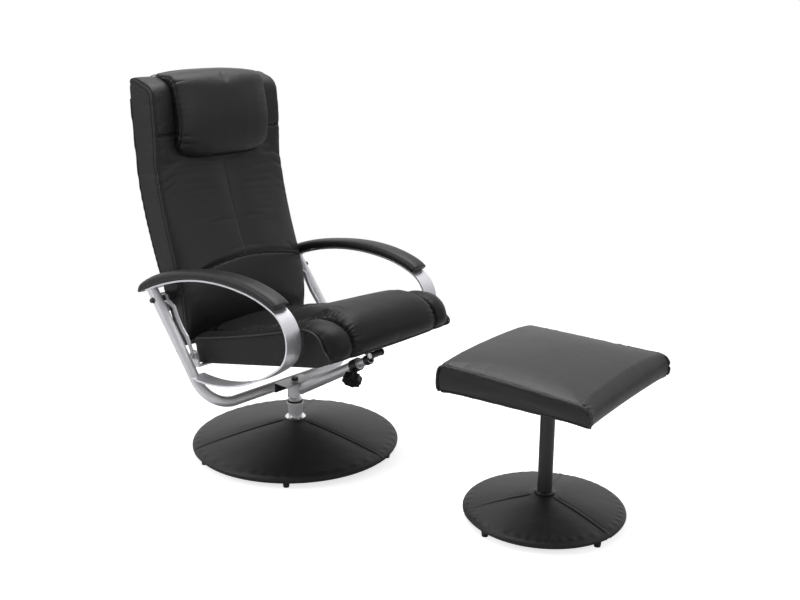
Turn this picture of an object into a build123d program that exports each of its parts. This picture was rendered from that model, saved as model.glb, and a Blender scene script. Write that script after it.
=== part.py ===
"""Recliner on a round swivel base, with its matching footstool.

Millimetres. The origin is on the floor, on the chair's swivel axis. +Z is up, the sitter
faces -Y, and the sitter's right arm is on the -X side.
"""

from build123d import *
from math import atan2, cos, degrees, radians, sin, sqrt, tan
import os

os.makedirs("parts", exist_ok=True)

# Shared allowances
soft_gap = 0.3
running_gap = 0.05
seat_clearance = 0.1
cut_overrun = 20.0
sheet_wall = 4.0
edge_break = 0.8

# Chair base: a dished steel plate under a padded cover, on five glides
base_radius = 280.0
base_rim_low = 12.0
base_rim_height = 21.0
base_rim_inset = 14.0
base_dome_top = 84.0
base_hub_radius = 23.0
base_dome_bulge = 4.0
base_glide_ring = 264.0
base_glide_angles = (160.5, 221.0, 293.5, 4.0, 82.0)
base_seam_angles = (151.0, 35.0, -79.0)
cover_wall = 5.0
cover_lip = 22.0
plate_wall = 3.0
glide_radius = 9.0
glide_flare = 1.5
seam_width = 10.0
seam_rise = 0.9
seam_root = 2.0
seam_end_share = 0.9

# Chair column: tapered chrome tube, flange ring, plastic bearing, spindle
column_foot = 46.0
column_foot_radius = 18.5
column_head_radius = 21.0
column_lip_radius = 22.8
column_lip_height = 7.0
column_lip_taper = 2.3
column_top = 130.0
column_bore = 16.0
flange_radius = 28.0
flange_height = 5.0
bearing_flange_radius = 21.5
bearing_flange_height = 5.0
bearing_foot = 60.0
spindle_radius = 12.0
spindle_foot = 50.0
spindle_neck_radius = 15.0
spindle_collar_radius = 19.0
spindle_collar_height = 6.0
spindle_neck_taper = 3.0
clip_radius = 15.0
clip_height = 2.0

# Channel over the spindle, with its bolt
channel_half_length = 50.0
channel_front = -29.0
channel_rear = 27.0
channel_top = 190.0
channel_drop = 28.0
channel_corner = 3.0
bolt_radius = 5.0
bolt_head_height = 6.5
bolt_head_width = 17.0
bolt_depth = 30.0
washer_radius = 11.0
washer_height = 2.0

# Side frame: one tube bent to a U that leans back
tube_radius = 14.0
tube_wall = 2.0
tube_half_span = 262.0
tube_cross_height = 172.0
tube_lean_angle = 52.5
tube_bend_radius = 84.0
tube_reach = 364.0
stop_height = 312.0
stop_radius = 6.0
stop_depth = 4.0
stop_taper_angle = 15.0

# Arm loops: flat aluminium band, its line as shares of the loop's length
arm_half_width = 274.4
band_width = 46.0
band_thickness = 4.5
arm_front = -266.0
arm_low = 245.0
arm_length = 580.0
arm_start_angle = 27.385
arm_line_shares = ((1.0, 0.3116), (0.6902, 0.4297), (0.2276, 0.4522), (0.0840, 0.4098),
                   (0.0026, 0.2760), (0.0578, 0.1750), (0.2748, 0.0571), (0.6297, 0.0078))
cope_reach = 130.0

# Arm pads: padded strip on the band, from the rear tip to the nose
pad_width = 52.0
pad_side_draw = 9.0
pad_top_shares = ((0.9966, 0.3569), (0.8310, 0.4448), (0.5690, 0.5000), (0.3897, 0.5138),
                  (0.2276, 0.5034), (0.1138, 0.4759), (0.0517, 0.4431))
pad_station_shares = ((-1.0, 1.0), (-0.93, 0.42), (-0.77, 0.1), (-0.4, 0.0),
                      (0.4, 0.0), (0.77, 0.1), (0.93, 0.42), (1.0, 1.0))
pad_screw_radius = 3.0
pad_screw_head = 5.5
pad_screw_depth = 14.0
screw_taper_angle = 30.0

# Recline pivots on the uprights
pivot_drop = 66.226
pivot_radius = 4.0
pivot_head_radius = 8.0
pivot_head_height = 7.0
pivot_taper_angle = 20.0
pivot_nut_height = 6.5
sleeve_radius = 8.0

# Links of the back: plane, arm line as shares of its length, tab on the back's shell
link_plane = 238.5
link_wall = 4.0
link_width = 11.0
link_length = 160.0
link_line_shares = ((-0.2402, -0.1125), (-0.3840, -0.3875), (-0.5403, -0.5625))
link_eye_radius = 12.0
link_tab_height = 52.0
tab_screw_share = 0.333
link_tab_drop = 18.0
link_screw_inset = 16.0
link_tab_inset = 25.6

# Rear pins of the seat, in the links' lower eyes
heel_inset = 7.0
heel_lift = 29.0
heel_pin_radius = 4.0
heel_play = 2.0
heel_head_radius = 8.0
heel_head_height = 2.5
heel_side_gap = 1.0

# Central rail, its slide and the tongue of the front hinge
rail_angle = 29.5
rail_start_height = 173.0
rail_length = 243.0
slide_radius = 11.0
slide_wall = 1.6
slide_insert = 150.0
slide_reach = 45.0
cap_length = 16.0
cap_wall = 2.0
tongue_insert = 30.0
hinge_offset = 26.0
hinge_lift = 6.0
hinge_pin_radius = 4.0
hinge_eye_radius = 8.0
hinge_eye_half = 15.0
hinge_gap = 20.5
hinge_plate_wall = 4.0
hinge_head_radius = 7.0
hinge_head_height = 3.0

# Clamp at the rail's mouth, with its screw and knob
saddle_length = 24.0
saddle_wall = 3.0
saddle_boss_radius = 8.0
saddle_boss_height = 8.0
knob_roll_angle = 45.0
stud_radius = 4.0
knob_radius = 25.0
knob_height = 18.0
knob_gap = 10.0
knob_neck_radius = 8.0
knob_neck_height = 6.0
knob_lobe_count = 8
knob_lobe_radius = 5.5
knob_face_radius = 16.0
knob_face_depth = 2.0
knob_ring_radius = 9.0

# Seat: cushion, on a line that rises to the front
seat_angle = 11.2
seat_rear = 135.0
seat_rear_height = 263.0
seat_half_width = 222.0
seat_sole = 455.0
seat_crest = 387.0
seat_rear_rise = 65.0
seat_front_rise = 87.0
seat_nose_rise = 40.0
seat_nose_reach = 53.0
seat_panel_lift = 38.0
seat_rear_lean = 2.0
seat_camber = 2.0
shoulder_run_share = 0.72
shoulder_rise_share = 0.68
chin_run_share = 0.72
chin_rise_share = 0.3
seat_station_shares = ((1.0, 0.0, 0.06), (0.985, 0.16, 0.35), (0.93, 0.36, 0.68), (0.82, 0.47, 0.88),
                       (0.73, 0.40, 0.84), (0.685, 0.22, 0.76), (0.645, 0.52, 0.84), (0.57, 0.80, 0.93),
                       (0.45, 0.93, 0.98), (0.2, 1.0, 1.0))

# Seat board and the hinge hardware under it
board_wall = 12.0
board_show = 1.0
board_inset = 14.0
board_rear_inset = 4.0
board_front_inset = 12.0
cross_strap_width = 26.0
cross_strap_wall = 4.0
strap_screw_reach = 180.0
strap_screw_pitch = 60.0
hinge_plate_length = 70.0
bracket_half_width = 42.0
bracket_screw_reach = 32.0
bracket_screw_shares = (0.22, 0.78)
ear_radius = 9.0
screw_radius = 3.0
screw_head_radius = 6.0
screw_head_height = 2.5
screw_depth = 9.0

# Back: its foot, its height, and its side outline as shares of that height
back_foot = 184.0
back_foot_height = 290.0
back_height = 706.0
back_half_width = 215.0
back_side_draw = 7.0
back_crown = 24.0
back_waist_notch = 3.0
back_waist_arch = 14.0
shell_wall = 13.0
shell_inset = 4.0
shell_foot_rise = 12.0
back_front_shares = ((0.0170, 0.0057), (0.0, 0.0326), (0.0057, 0.1558), (0.0425, 0.3017),
                     (0.0949, 0.4958), (0.1204, 0.6827), (0.1331, 0.8215), (0.1402, 0.9462))
back_crown_shares = (0.2, 0.6, 1.05, 1.2, 0.85, 0.0, 0.0, 0.0)
back_top_shares = ((0.1516, 0.9830), (0.1841, 1.0014), (0.2422, 0.9958))
back_rear_shares = ((0.2025, 0.4419), (0.2422, 0.6006), (0.2578, 0.7790), (0.2691, 0.9419))
back_tail_shares = ((0.0368, 0.0014), (0.1473, 0.2805))
back_station_shares = ((1.0, 0.0, 1.0), (0.985, 0.05, 0.4), (0.95, 0.15, 0.05), (0.925, 0.17, 0.2),
                       (0.9, 0.27, 0.0), (0.75, 0.62, 0.0), (0.5, 0.88, 0.0), (0.1, 1.0, 0.0),
                       (0.0, 0.93, 0.0))

# Head pillow: its skin as shares of the back's height, with the way each point draws in
pillow_half_width = 162.0
pillow_side_draw = 12.0
pillow_skin_shares = ((0.1431, 0.6898, 0.0, 1.0), (0.0907, 0.6969, 0.7, 0.7), (0.0666, 0.7337, 1.0, 0.5),
                      (0.0595, 0.8357, 1.0, 0.0), (0.0793, 0.9518, 1.0, -0.3), (0.1133, 1.0057, 0.6, -0.6),
                      (0.1898, 1.0212, 0.0, -0.8), (0.2578, 1.0085, -0.4, -0.5), (0.2890, 0.9518, -0.7, 0.0),
                      (0.2861, 0.9065, -0.6, 0.0), (0.2762, 0.8612, -0.5, 0.5), (0.2210, 0.8584, 0.0, 0.5),
                      (0.1785, 0.7224, 0.0, 1.0))
pillow_station_shares = ((1.0, 1.0), (0.985, 0.6), (0.94, 0.28), (0.82, 0.1), (0.5, 0.0))

# Footstool: centre, base, post, board and cushion
stool_centre = (101.0, -748.0)
stool_radius = 193.0
stool_rim_height = 19.0
stool_dome_top = 62.0
stool_hub_radius = 21.0
stool_dome_bulge = 3.0
stool_glide_ring = 180.0
stool_glide_angle = 165.7
stool_glide_count = 4
full_turn_angle = 360.0
stool_seam_angles = (138.0, 20.0, -97.0)
post_radius = 17.5
post_wall = 2.0
post_stub = 8.0
post_collar_radius = 25.0
post_collar_height = 6.0
post_flange_half = 65.0
post_flange_wall = 4.0
post_flange_corner = 12.0
post_screw_spread = 50.0
stool_top = 391.0
stool_turn_angle = 5.15
stool_half_width = 199.0
stool_half_depth = 188.0
stool_cushion_height = 55.0
stool_crown = 7.0
stool_side_draw = 5.0
stool_roll_radius = 22.0
stool_chin_draw = 6.0
stool_chin_bow = 2.0
stool_edge_rise = 1.0
stool_board_inset = 22.0
roll_diagonal_share = 0.5
stool_station_shares = ((1.0, 0.0, 1.0), (0.985, 0.2, 0.4), (0.94, 0.45, 0.1), (0.8, 0.75, 0.0),
                        (0.5, 0.95, 0.0), (0.15, 1.0, 0.0))


def export_piece(piece, name):
    """Label a finished piece and write its STEP file."""
    piece.label = name
    export_step(piece, f"parts/{name}.step")


def shared(origin, length, shares):
    """Points of an outline from their shares of one length, measured from an origin."""
    return [Vector(origin[0] + length * s, origin[1] + length * t) for s, t in shares]


def upright_plane(centre, angle):
    """Upright plane through a base's axis, its x direction pointing out at the given angle."""
    out = radians(angle)
    return Plane(origin=(centre[0], centre[1], 0), x_dir=(cos(out), sin(out), 0),
                 z_dir=(sin(out), -cos(out), 0))


def padded_cover(centre, radius, crease, hub, top, bulge, seam_angles):
    """Padded cover of a round base, with a felled seam along each joint of its panels."""
    plate_edge = radius - cover_wall - edge_break
    rim = radius - base_rim_inset
    mid = (hub + rim) / 2
    crest = (top + crease) / 2 + bulge
    seam_start_share = (flange_radius + seam_rise - hub) / (rim - hub)
    with BuildPart() as cover:
        with BuildSketch(upright_plane(centre, 0)):
            with BuildLine():
                ThreePointArc((hub, top), (mid, crest), (rim, crease))
                ThreePointArc((rim, crease), (radius, (crease + base_rim_low) / 2),
                              (radius - cover_wall, base_rim_low))
                Polyline((radius - cover_wall, base_rim_low), (plate_edge - cover_lip, base_rim_low),
                         (plate_edge - cover_lip, base_rim_low + cover_wall),
                         (plate_edge, base_rim_low + cover_wall), (plate_edge, crease - cover_wall),
                         (hub, top - cover_wall), (hub, top))
            make_face()
        revolve(axis=Axis((centre[0], centre[1], 0), (0, 0, 1)))
        for seam_angle in seam_angles:
            with BuildSketch(upright_plane(centre, seam_angle)):
                with BuildLine():
                    edges = []
                    for rise in (-seam_root, seam_rise):
                        dome = ThreePointArc((hub, top + rise), (mid, crest + rise), (rim, crease + rise),
                                             mode=Mode.PRIVATE)
                        edges.append(dome.trim(seam_start_share, seam_end_share))
                        add(edges[-1])
                    Line(edges[0] @ 0, edges[1] @ 0)
                    Line(edges[0] @ 1, edges[1] @ 1)
                make_face()
            extrude(amount=seam_width / 2, both=True)
    return cover.part


def dished_plate(centre, radius, crease, bore, hub, top):
    """Dished steel plate with a turned-down rim and a bored hub."""
    edge = radius - cover_wall - edge_break - soft_gap
    shoulder = crease - cover_wall - soft_gap
    hub_top = top - cover_wall - soft_gap
    foot = base_rim_low + cover_wall + soft_gap
    with BuildPart() as plate:
        with BuildSketch(upright_plane(centre, 0)):
            with BuildLine():
                Polyline((bore, hub_top), (hub, hub_top), (edge, shoulder), (edge, foot),
                         (edge - plate_wall, foot), (edge - plate_wall, shoulder - plate_wall),
                         (hub, hub_top - plate_wall), (bore, hub_top - plate_wall),
                         (bore, hub_top))
            make_face()
        revolve(axis=Axis((centre[0], centre[1], 0), (0, 0, 1)))
    return plate.part


def ring_glides(centre, ring_radius, angles):
    """Round plastic glides under the rim of a base."""
    with BuildPart() as glides:
        with BuildSketch():
            for angle in angles:
                with Locations((centre[0] + ring_radius * cos(radians(angle)),
                                centre[1] + ring_radius * sin(radians(angle)))):
                    Circle(glide_radius - glide_flare)
        extrude(amount=base_rim_low, taper=-degrees(atan2(glide_flare, base_rim_low)))
    return glides.part


# Chair base
axis_place = (0, 0)
base_crease = base_rim_low + base_rim_height
base_cover = padded_cover(axis_place, base_radius, base_crease, base_hub_radius, base_dome_top,
                          base_dome_bulge, base_seam_angles)
export_piece(base_cover, "base_cover")

base_plate = dished_plate(axis_place, base_radius, base_crease, column_foot_radius + seat_clearance,
                          base_hub_radius, base_dome_top)
export_piece(base_plate, "base_plate")

base_glides = ring_glides(axis_place, base_glide_ring, base_glide_angles)
export_piece(base_glides, "base_glides")

# Column, welded through the plate: taper, rolled lip at the head, bore for the bearing
flange_low = base_dome_top + soft_gap
lip_low = column_top - column_lip_height
with BuildPart() as column_tube:
    with BuildSketch(Plane.XZ):
        with BuildLine():
            Polyline((column_bore, column_foot), (column_foot_radius, column_foot),
                     (column_foot_radius, flange_low + flange_height),
                     (column_head_radius, lip_low), (column_lip_radius, lip_low + column_lip_taper),
                     (column_lip_radius, column_top), (column_bore, column_top),
                     (column_bore, column_foot))
        make_face()
    revolve(axis=Axis.Z)
    chamfer(column_tube.edges().group_by(Axis.Z)[-1].sort_by(SortBy.LENGTH)[-1], edge_break)
export_piece(column_tube.part, "column_tube")

with BuildPart() as column_flange:
    flange_bore = column_foot_radius + seat_clearance
    with BuildSketch(Plane.XY.offset(flange_low)):
        Circle(flange_radius)
        Circle(flange_bore, mode=Mode.SUBTRACT)
    extrude(amount=flange_height)
    chamfer(column_flange.edges().group_by(Axis.Z)[-1].sort_by(SortBy.LENGTH)[-1], flange_height / 2)
export_piece(column_flange.part, "column_flange")

with BuildPart() as column_bearing:
    with BuildSketch(Plane.XY.offset(bearing_foot)):
        Circle(column_bore)
    extrude(amount=column_top - bearing_foot)
    with BuildSketch(Plane.XY.offset(column_top)):
        Circle(bearing_flange_radius)
    extrude(amount=bearing_flange_height)
    chamfer(column_bearing.edges().sort_by(Axis.Z)[-1], edge_break)
    with BuildSketch(Plane.XY.offset(bearing_foot)):
        Circle(spindle_radius + running_gap)
    extrude(amount=column_top + bearing_flange_height - bearing_foot, mode=Mode.SUBTRACT)
export_piece(column_bearing.part, "column_bearing")

# Spindle: shaft in the bearing, collar on it, neck up to the channel's roof
collar_low = column_top + bearing_flange_height + seat_clearance
channel_roof = channel_top - sheet_wall
clip_low = bearing_foot - seat_clearance - clip_height
with BuildPart() as swivel_spindle:
    with BuildSketch(Plane.XZ):
        with BuildLine():
            Polyline((0, spindle_foot), (spindle_radius, spindle_foot), (spindle_radius, collar_low),
                     (spindle_collar_radius, collar_low),
                     (spindle_collar_radius, collar_low + spindle_collar_height / 2),
                     (spindle_neck_radius, collar_low + spindle_collar_height + spindle_neck_taper),
                     (spindle_neck_radius, channel_roof), (0, channel_roof), (0, spindle_foot))
        make_face()
    revolve(axis=Axis.Z)
    with BuildSketch(Plane.XY.offset(channel_roof)):
        Circle(bolt_radius + running_gap)
    extrude(amount=-bolt_depth, mode=Mode.SUBTRACT)
    with BuildSketch(Plane.XY.offset(clip_low - running_gap)):
        Circle(spindle_radius + cut_overrun)
        Circle(spindle_radius - clip_height, mode=Mode.SUBTRACT)
    extrude(amount=clip_height + running_gap * 2, mode=Mode.SUBTRACT)
export_piece(swivel_spindle.part, "swivel_spindle")

with BuildPart() as spindle_circlip:
    with BuildSketch(Plane.XY.offset(clip_low)):
        Circle(clip_radius)
        Circle(spindle_radius - clip_height + running_gap, mode=Mode.SUBTRACT)
    extrude(amount=clip_height)
export_piece(spindle_circlip.part, "spindle_circlip")

# Channel: folded sheet over the spindle, open below and at its ends
channel_span = channel_rear - channel_front
channel_mid = (channel_front + channel_rear) / 2
with BuildPart() as swivel_channel:
    with BuildSketch(Plane.YZ):
        with Locations((channel_mid, channel_top - channel_drop / 2)):
            Rectangle(channel_span, channel_drop)
        with Locations((channel_mid, channel_roof - channel_drop / 2)):
            Rectangle(channel_span - sheet_wall * 2, channel_drop, mode=Mode.SUBTRACT)
    extrude(amount=channel_half_length, both=True)
    fillet(swivel_channel.edges().filter_by(Axis.X).group_by(Axis.Z)[-1], channel_corner)
    with BuildSketch(Plane.XY.offset(channel_top)):
        Circle(bolt_radius + running_gap)
    extrude(amount=-sheet_wall - seat_clearance, mode=Mode.SUBTRACT)
export_piece(swivel_channel.part, "swivel_channel")

with BuildPart() as swivel_washer:
    with BuildSketch(Plane.XY.offset(channel_top)):
        Circle(washer_radius)
        Circle(bolt_radius + running_gap, mode=Mode.SUBTRACT)
    extrude(amount=washer_height)
export_piece(swivel_washer.part, "swivel_washer")

with BuildPart() as swivel_bolt:
    with BuildSketch(Plane.XY.offset(channel_top + washer_height)):
        RegularPolygon(bolt_head_width / 2, 6, major_radius=False)
    extrude(amount=bolt_head_height)
    with BuildSketch(Plane.XY.offset(channel_top + washer_height)):
        Circle(bolt_radius)
    extrude(amount=-washer_height - sheet_wall - bolt_depth + seat_clearance)
export_piece(swivel_bolt.part, "swivel_bolt")

# Arm loop: a line of tangent arcs, drawn on the plane that looks along the chair's side
arm_points = shared((arm_front, arm_low), arm_length, arm_line_shares)
arm_run = Vector(-cos(radians(arm_start_angle)), sin(radians(arm_start_angle)))
arm_headings = [arm_run]
for arc_start, arc_end in zip(arm_points, arm_points[1:]):
    chord = (arc_end - arc_start).normalized()
    arm_headings.append(chord * (2 * chord.dot(arm_headings[-1])) - arm_headings[-1])
arm_normals = [Vector(heading.Y, -heading.X) for heading in arm_headings]


def arm_chain(first, last, rise):
    """Arcs of the arm line from one point to another, raised outwards by a distance."""
    raised = [point + normal * rise for point, normal in zip(arm_points, arm_normals)]
    for start, end, heading in zip(raised[first:last], raised[first + 1:], arm_headings[first:]):
        TangentArc(start, end, tangent=heading)
    return raised[first], raised[last]


def arm_strip(last, low, high):
    """Closed strip between two distances from the arm line, up to one of its points."""
    with BuildSketch() as strip:
        with BuildLine():
            low_start, low_end = arm_chain(0, last, low)
            high_start, high_end = arm_chain(0, last, high)
            Line(low_start, high_start)
            Line(low_end, high_end)
        make_face()
    return strip.sketch


def arm_seat(index):
    """Middle of one arc of the arm line, with the outward direction there."""
    start, end = arm_points[index], arm_points[index + 1]
    half_turn = arm_headings[index].get_angle(end - start)
    side = arm_normals[index].dot((end - start).normalized())
    outward = (arm_normals[index] + arm_normals[index + 1]).normalized()
    sagitta = (end - start).length / 2 * tan(radians(half_turn / 2))
    middle = (start + end) / 2 + outward * (sagitta if side < 0 else -sagitta)
    return middle, outward


# U-shaped side frame: tube bent in one leaning plane, hollow, ends cut under the arms
lean = radians(tube_lean_angle)
lean_run = Vector(0, cos(lean), sin(lean))
lean_normal = Vector(0, sin(lean), -cos(lean))
cross_depth = channel_rear + tube_radius
pivot_height = arm_points[1].Y - pivot_drop
cross_point = Vector(0, cross_depth, tube_cross_height)
pivot_depth = cross_depth + (pivot_height - tube_cross_height) / tan(lean)
stop_point = cross_point + lean_run * ((stop_height - tube_cross_height) / sin(lean))
with BuildPart() as side_frame_tube:
    lean_plane = Plane(origin=cross_point, x_dir=(1, 0, 0), z_dir=-lean_normal)
    with BuildLine(lean_plane) as frame_line:
        FilletPolyline((-tube_half_span, tube_reach), (-tube_half_span, 0),
                       (tube_half_span, 0), (tube_half_span, tube_reach), radius=tube_bend_radius)
    with BuildSketch(Plane(origin=frame_line.line @ 0, z_dir=frame_line.line % 0)):
        Circle(tube_radius)
        Circle(tube_radius - tube_wall, mode=Mode.SUBTRACT)
    sweep(path=frame_line.line)
    with BuildSketch(Plane.YZ):
        add(arm_strip(3, -seat_clearance, cut_overrun))
    extrude(amount=arm_half_width + cut_overrun, both=True, mode=Mode.SUBTRACT)
    with BuildSketch(Plane.YZ):
        with Locations((pivot_depth, pivot_height)):
            Circle(pivot_radius + running_gap)
    extrude(amount=arm_half_width + cut_overrun, both=True, mode=Mode.SUBTRACT)
    for side in (-1, 1):
        hole_root = stop_point + Vector(side * tube_half_span, 0, 0)
        with BuildSketch(Plane(origin=hole_root, z_dir=lean_normal)):
            Circle(stop_radius / 2 + running_gap)
        extrude(amount=tube_radius + cut_overrun, mode=Mode.SUBTRACT)
export_piece(side_frame_tube.part, "side_frame_tube")

# Rubber stops plugged into the rear of the uprights
with BuildPart() as frame_stops:
    for side in (-1, 1):
        plug_root = stop_point + Vector(side * tube_half_span, 0, 0)
        plug_root = plug_root + lean_normal * (tube_radius - tube_wall)
        with BuildSketch(Plane(origin=plug_root, z_dir=lean_normal)):
            Circle(stop_radius / 2)
        extrude(amount=tube_wall + soft_gap)
        with BuildSketch(Plane(origin=plug_root + lean_normal * (tube_wall + soft_gap), z_dir=lean_normal)):
            Circle(stop_radius)
        extrude(amount=stop_depth, taper=stop_taper_angle)
export_piece(frame_stops.part, "frame_stops")

# Arm bands, pads and the screws that hold them, on both sides
band_middle = arm_half_width - band_width / 2
band_cut = cross_point + lean_normal * (tube_radius + edge_break)
screw_seats = [arm_seat(index) for index in range(3)]


def pad_outline(draw):
    """Outline of an arm pad at one station, its top drawn down towards the edges."""
    top = [point - Vector(0, draw) for point in shared((arm_front, arm_low), arm_length, pad_top_shares)]
    pad_low = band_thickness + soft_gap
    with BuildSketch() as outline:
        with BuildLine():
            rear_low, nose_low = arm_chain(0, 3, pad_low)
            Line(rear_low, top[0])
            ThreePointArc(top[0], top[1], top[2])
            ThreePointArc(top[2], top[3], top[4])
            ThreePointArc(top[4], top[5], top[6])
            Line(top[6], nose_low)
        make_face()
    return outline.sketch


for side, side_name in ((-1, "right"), (1, "left")):
    band_plane = Plane.YZ.offset(side * band_middle)
    with BuildPart() as arm_band:
        with BuildSketch(band_plane):
            add(arm_strip(len(arm_points) - 1, 0, band_thickness))
        extrude(amount=band_width / 2, both=True)
        split(bisect_by=Plane(origin=band_cut, z_dir=lean_normal), keep=Keep.BOTTOM)
        with BuildSketch(Plane(origin=cross_point + Vector(side * tube_half_span, 0, 0), z_dir=lean_run)):
            Circle(tube_radius + running_gap)
        extrude(amount=cope_reach, mode=Mode.SUBTRACT)
        for middle, outward in screw_seats:
            seat_point = Vector(side * band_middle, middle.X, middle.Y)
            with BuildSketch(Plane(origin=seat_point, z_dir=(0, outward.X, outward.Y))):
                Circle(pad_screw_radius + running_gap)
            extrude(amount=band_thickness + seat_clearance, both=True, mode=Mode.SUBTRACT)
    export_piece(arm_band.part, f"arm_band_{side_name}")

    with BuildPart() as arm_pad:
        for width_share, draw_share in pad_station_shares:
            station = side * band_middle + width_share * pad_width / 2
            with BuildSketch(Plane.YZ.offset(station)):
                add(pad_outline(draw_share * pad_side_draw))
        loft(ruled=True)
        for middle, outward in screw_seats:
            seat_point = Vector(side * band_middle, middle.X, middle.Y)
            with BuildSketch(Plane(origin=seat_point, z_dir=(0, outward.X, outward.Y))):
                Circle(pad_screw_radius + running_gap)
            extrude(amount=pad_screw_depth + seat_clearance, mode=Mode.SUBTRACT)
    export_piece(arm_pad.part, f"arm_pad_{side_name}")

    with BuildPart() as arm_pad_screws:
        for middle, outward in screw_seats:
            seat_point = Vector(side * band_middle, middle.X, middle.Y)
            screw_plane = Plane(origin=seat_point, z_dir=(0, outward.X, outward.Y))
            with BuildSketch(screw_plane.offset(-seat_clearance)):
                Circle(pad_screw_radius)
            extrude(amount=pad_screw_depth)
            with BuildSketch(screw_plane.offset(-seat_clearance)):
                Circle(pad_screw_head)
            extrude(amount=-screw_head_height, taper=screw_taper_angle)
    export_piece(arm_pad_screws.part, f"arm_pad_screws_{side_name}")

# Rail: tube that climbs forward from the channel's front wall, with a collar at its mouth
rail_slope = radians(rail_angle)
rail_run = Vector(0, -cos(rail_slope), sin(rail_slope))
rail_up = Vector(0, sin(rail_slope), cos(rail_slope))
rail_root = Vector(0, channel_front, rail_start_height)
rail_bore = slide_radius + running_gap
saddle_middle = rail_length - saddle_length / 2
knob_roll = radians(knob_roll_angle)
knob_run = rail_up * -cos(knob_roll) + Vector(-1, 0, 0) * sin(knob_roll)


def rail_plane(distance):
    """Plane square to the rail at a distance along it."""
    return Plane(origin=rail_root + rail_run * distance, x_dir=(1, 0, 0), z_dir=rail_run)


def knob_plane(distance):
    """Plane square to the clamp's screw at a distance from the rail's axis."""
    root = rail_root + rail_run * saddle_middle
    return Plane(origin=root + knob_run * distance, x_dir=rail_run, z_dir=knob_run)


with BuildPart() as rail_tube:
    with BuildSketch(rail_plane(-tube_radius)):
        Circle(tube_radius)
        Circle(rail_bore, mode=Mode.SUBTRACT)
    extrude(amount=rail_length + tube_radius)
    split(bisect_by=Plane(origin=rail_root, z_dir=(0, 1, 0)), keep=Keep.BOTTOM)
    with BuildSketch(knob_plane(0)):
        Circle(stud_radius + running_gap)
    extrude(amount=tube_radius + cut_overrun, mode=Mode.SUBTRACT)
export_piece(rail_tube.part, "rail_tube")

with BuildPart() as rail_clamp:
    with BuildSketch(rail_plane(rail_length - saddle_length)):
        Circle(tube_radius + saddle_wall)
    extrude(amount=saddle_length)
    with BuildSketch(knob_plane(0)):
        Circle(saddle_boss_radius)
    extrude(amount=tube_radius + saddle_wall + saddle_boss_height)
    with BuildSketch(knob_plane(0)):
        Circle(stud_radius + running_gap)
    extrude(amount=tube_radius + saddle_wall + saddle_boss_height + cut_overrun, mode=Mode.SUBTRACT)
    with BuildSketch(rail_plane(rail_length - saddle_length - cut_overrun)):
        Circle(tube_radius + running_gap)
    extrude(amount=saddle_length + cut_overrun * 2, mode=Mode.SUBTRACT)
export_piece(rail_clamp.part, "rail_clamp")

# Clamp screw and its lobed knob
boss_top = tube_radius + saddle_wall + saddle_boss_height
knob_foot = boss_top + knob_gap
with BuildPart() as clamp_stud:
    with BuildSketch(knob_plane(slide_radius + seat_clearance)):
        Circle(stud_radius)
    extrude(amount=knob_foot + knob_height / 2 - slide_radius - seat_clearance)
export_piece(clamp_stud.part, "clamp_stud")

with BuildPart() as clamp_knob:
    with BuildSketch(knob_plane(knob_foot)):
        Circle(knob_radius - knob_lobe_radius / 2)
        with PolarLocations(knob_radius - knob_lobe_radius, knob_lobe_count):
            Circle(knob_lobe_radius)
    extrude(amount=knob_height)
    with BuildSketch(knob_plane(knob_foot + knob_height)):
        Circle(knob_face_radius)
        Circle(knob_ring_radius, mode=Mode.SUBTRACT)
    extrude(amount=-knob_face_depth, mode=Mode.SUBTRACT)
    with BuildSketch(knob_plane(knob_foot)):
        Circle(stud_radius + running_gap)
    extrude(amount=knob_height / 2 + seat_clearance, mode=Mode.SUBTRACT)
    with BuildSketch(knob_plane(knob_foot)):
        Circle(knob_neck_radius)
        Circle(stud_radius + running_gap, mode=Mode.SUBTRACT)
    extrude(amount=-knob_neck_height)
export_piece(clamp_knob.part, "clamp_knob")

# Slide inside the rail, with its end collar and the tongue that carries the seat's hinge
slide_end = rail_length + slide_reach
hinge_distance = slide_end + hinge_offset
hinge_point = rail_root + rail_run * hinge_distance + rail_up * hinge_lift
tongue_plane = Plane(origin=rail_root, x_dir=(-1, 0, 0), z_dir=rail_up)
hinge_bore = hinge_pin_radius + running_gap
tongue_corner = slide_radius - slide_wall - running_gap
tongue_width = sqrt(tongue_corner ** 2 - (hinge_plate_wall / 2) ** 2) * 2
with BuildPart() as slide_tube:
    with BuildSketch(rail_plane(rail_length - slide_insert)):
        Circle(slide_radius)
        Circle(slide_radius - slide_wall, mode=Mode.SUBTRACT)
    extrude(amount=slide_insert + slide_reach)
export_piece(slide_tube.part, "slide_tube")

with BuildPart() as slide_collar:
    with BuildSketch(rail_plane(slide_end - cap_length)):
        Circle(slide_radius + cap_wall)
        Circle(slide_radius + running_gap, mode=Mode.SUBTRACT)
    extrude(amount=cap_length)
    chamfer(slide_collar.edges().filter_by(GeomType.CIRCLE).sort_by(SortBy.LENGTH)[-2:], edge_break)
export_piece(slide_collar.part, "slide_collar")

with BuildPart() as slide_tongue:
    with BuildSketch(tongue_plane):
        with Locations((0, (slide_end - tongue_insert + hinge_distance) / 2)):
            Rectangle(tongue_width, hinge_distance - slide_end + tongue_insert)
    extrude(amount=hinge_plate_wall / 2, both=True)
    with BuildSketch(Plane.YZ):
        with Locations((hinge_point.Y, hinge_point.Z)):
            Circle(hinge_eye_radius)
    extrude(amount=hinge_eye_half, both=True)
    with BuildSketch(Plane.YZ):
        with Locations((hinge_point.Y, hinge_point.Z)):
            Circle(hinge_bore)
    extrude(amount=hinge_eye_half + cut_overrun, both=True, mode=Mode.SUBTRACT)
export_piece(slide_tongue.part, "slide_tongue")

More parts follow.
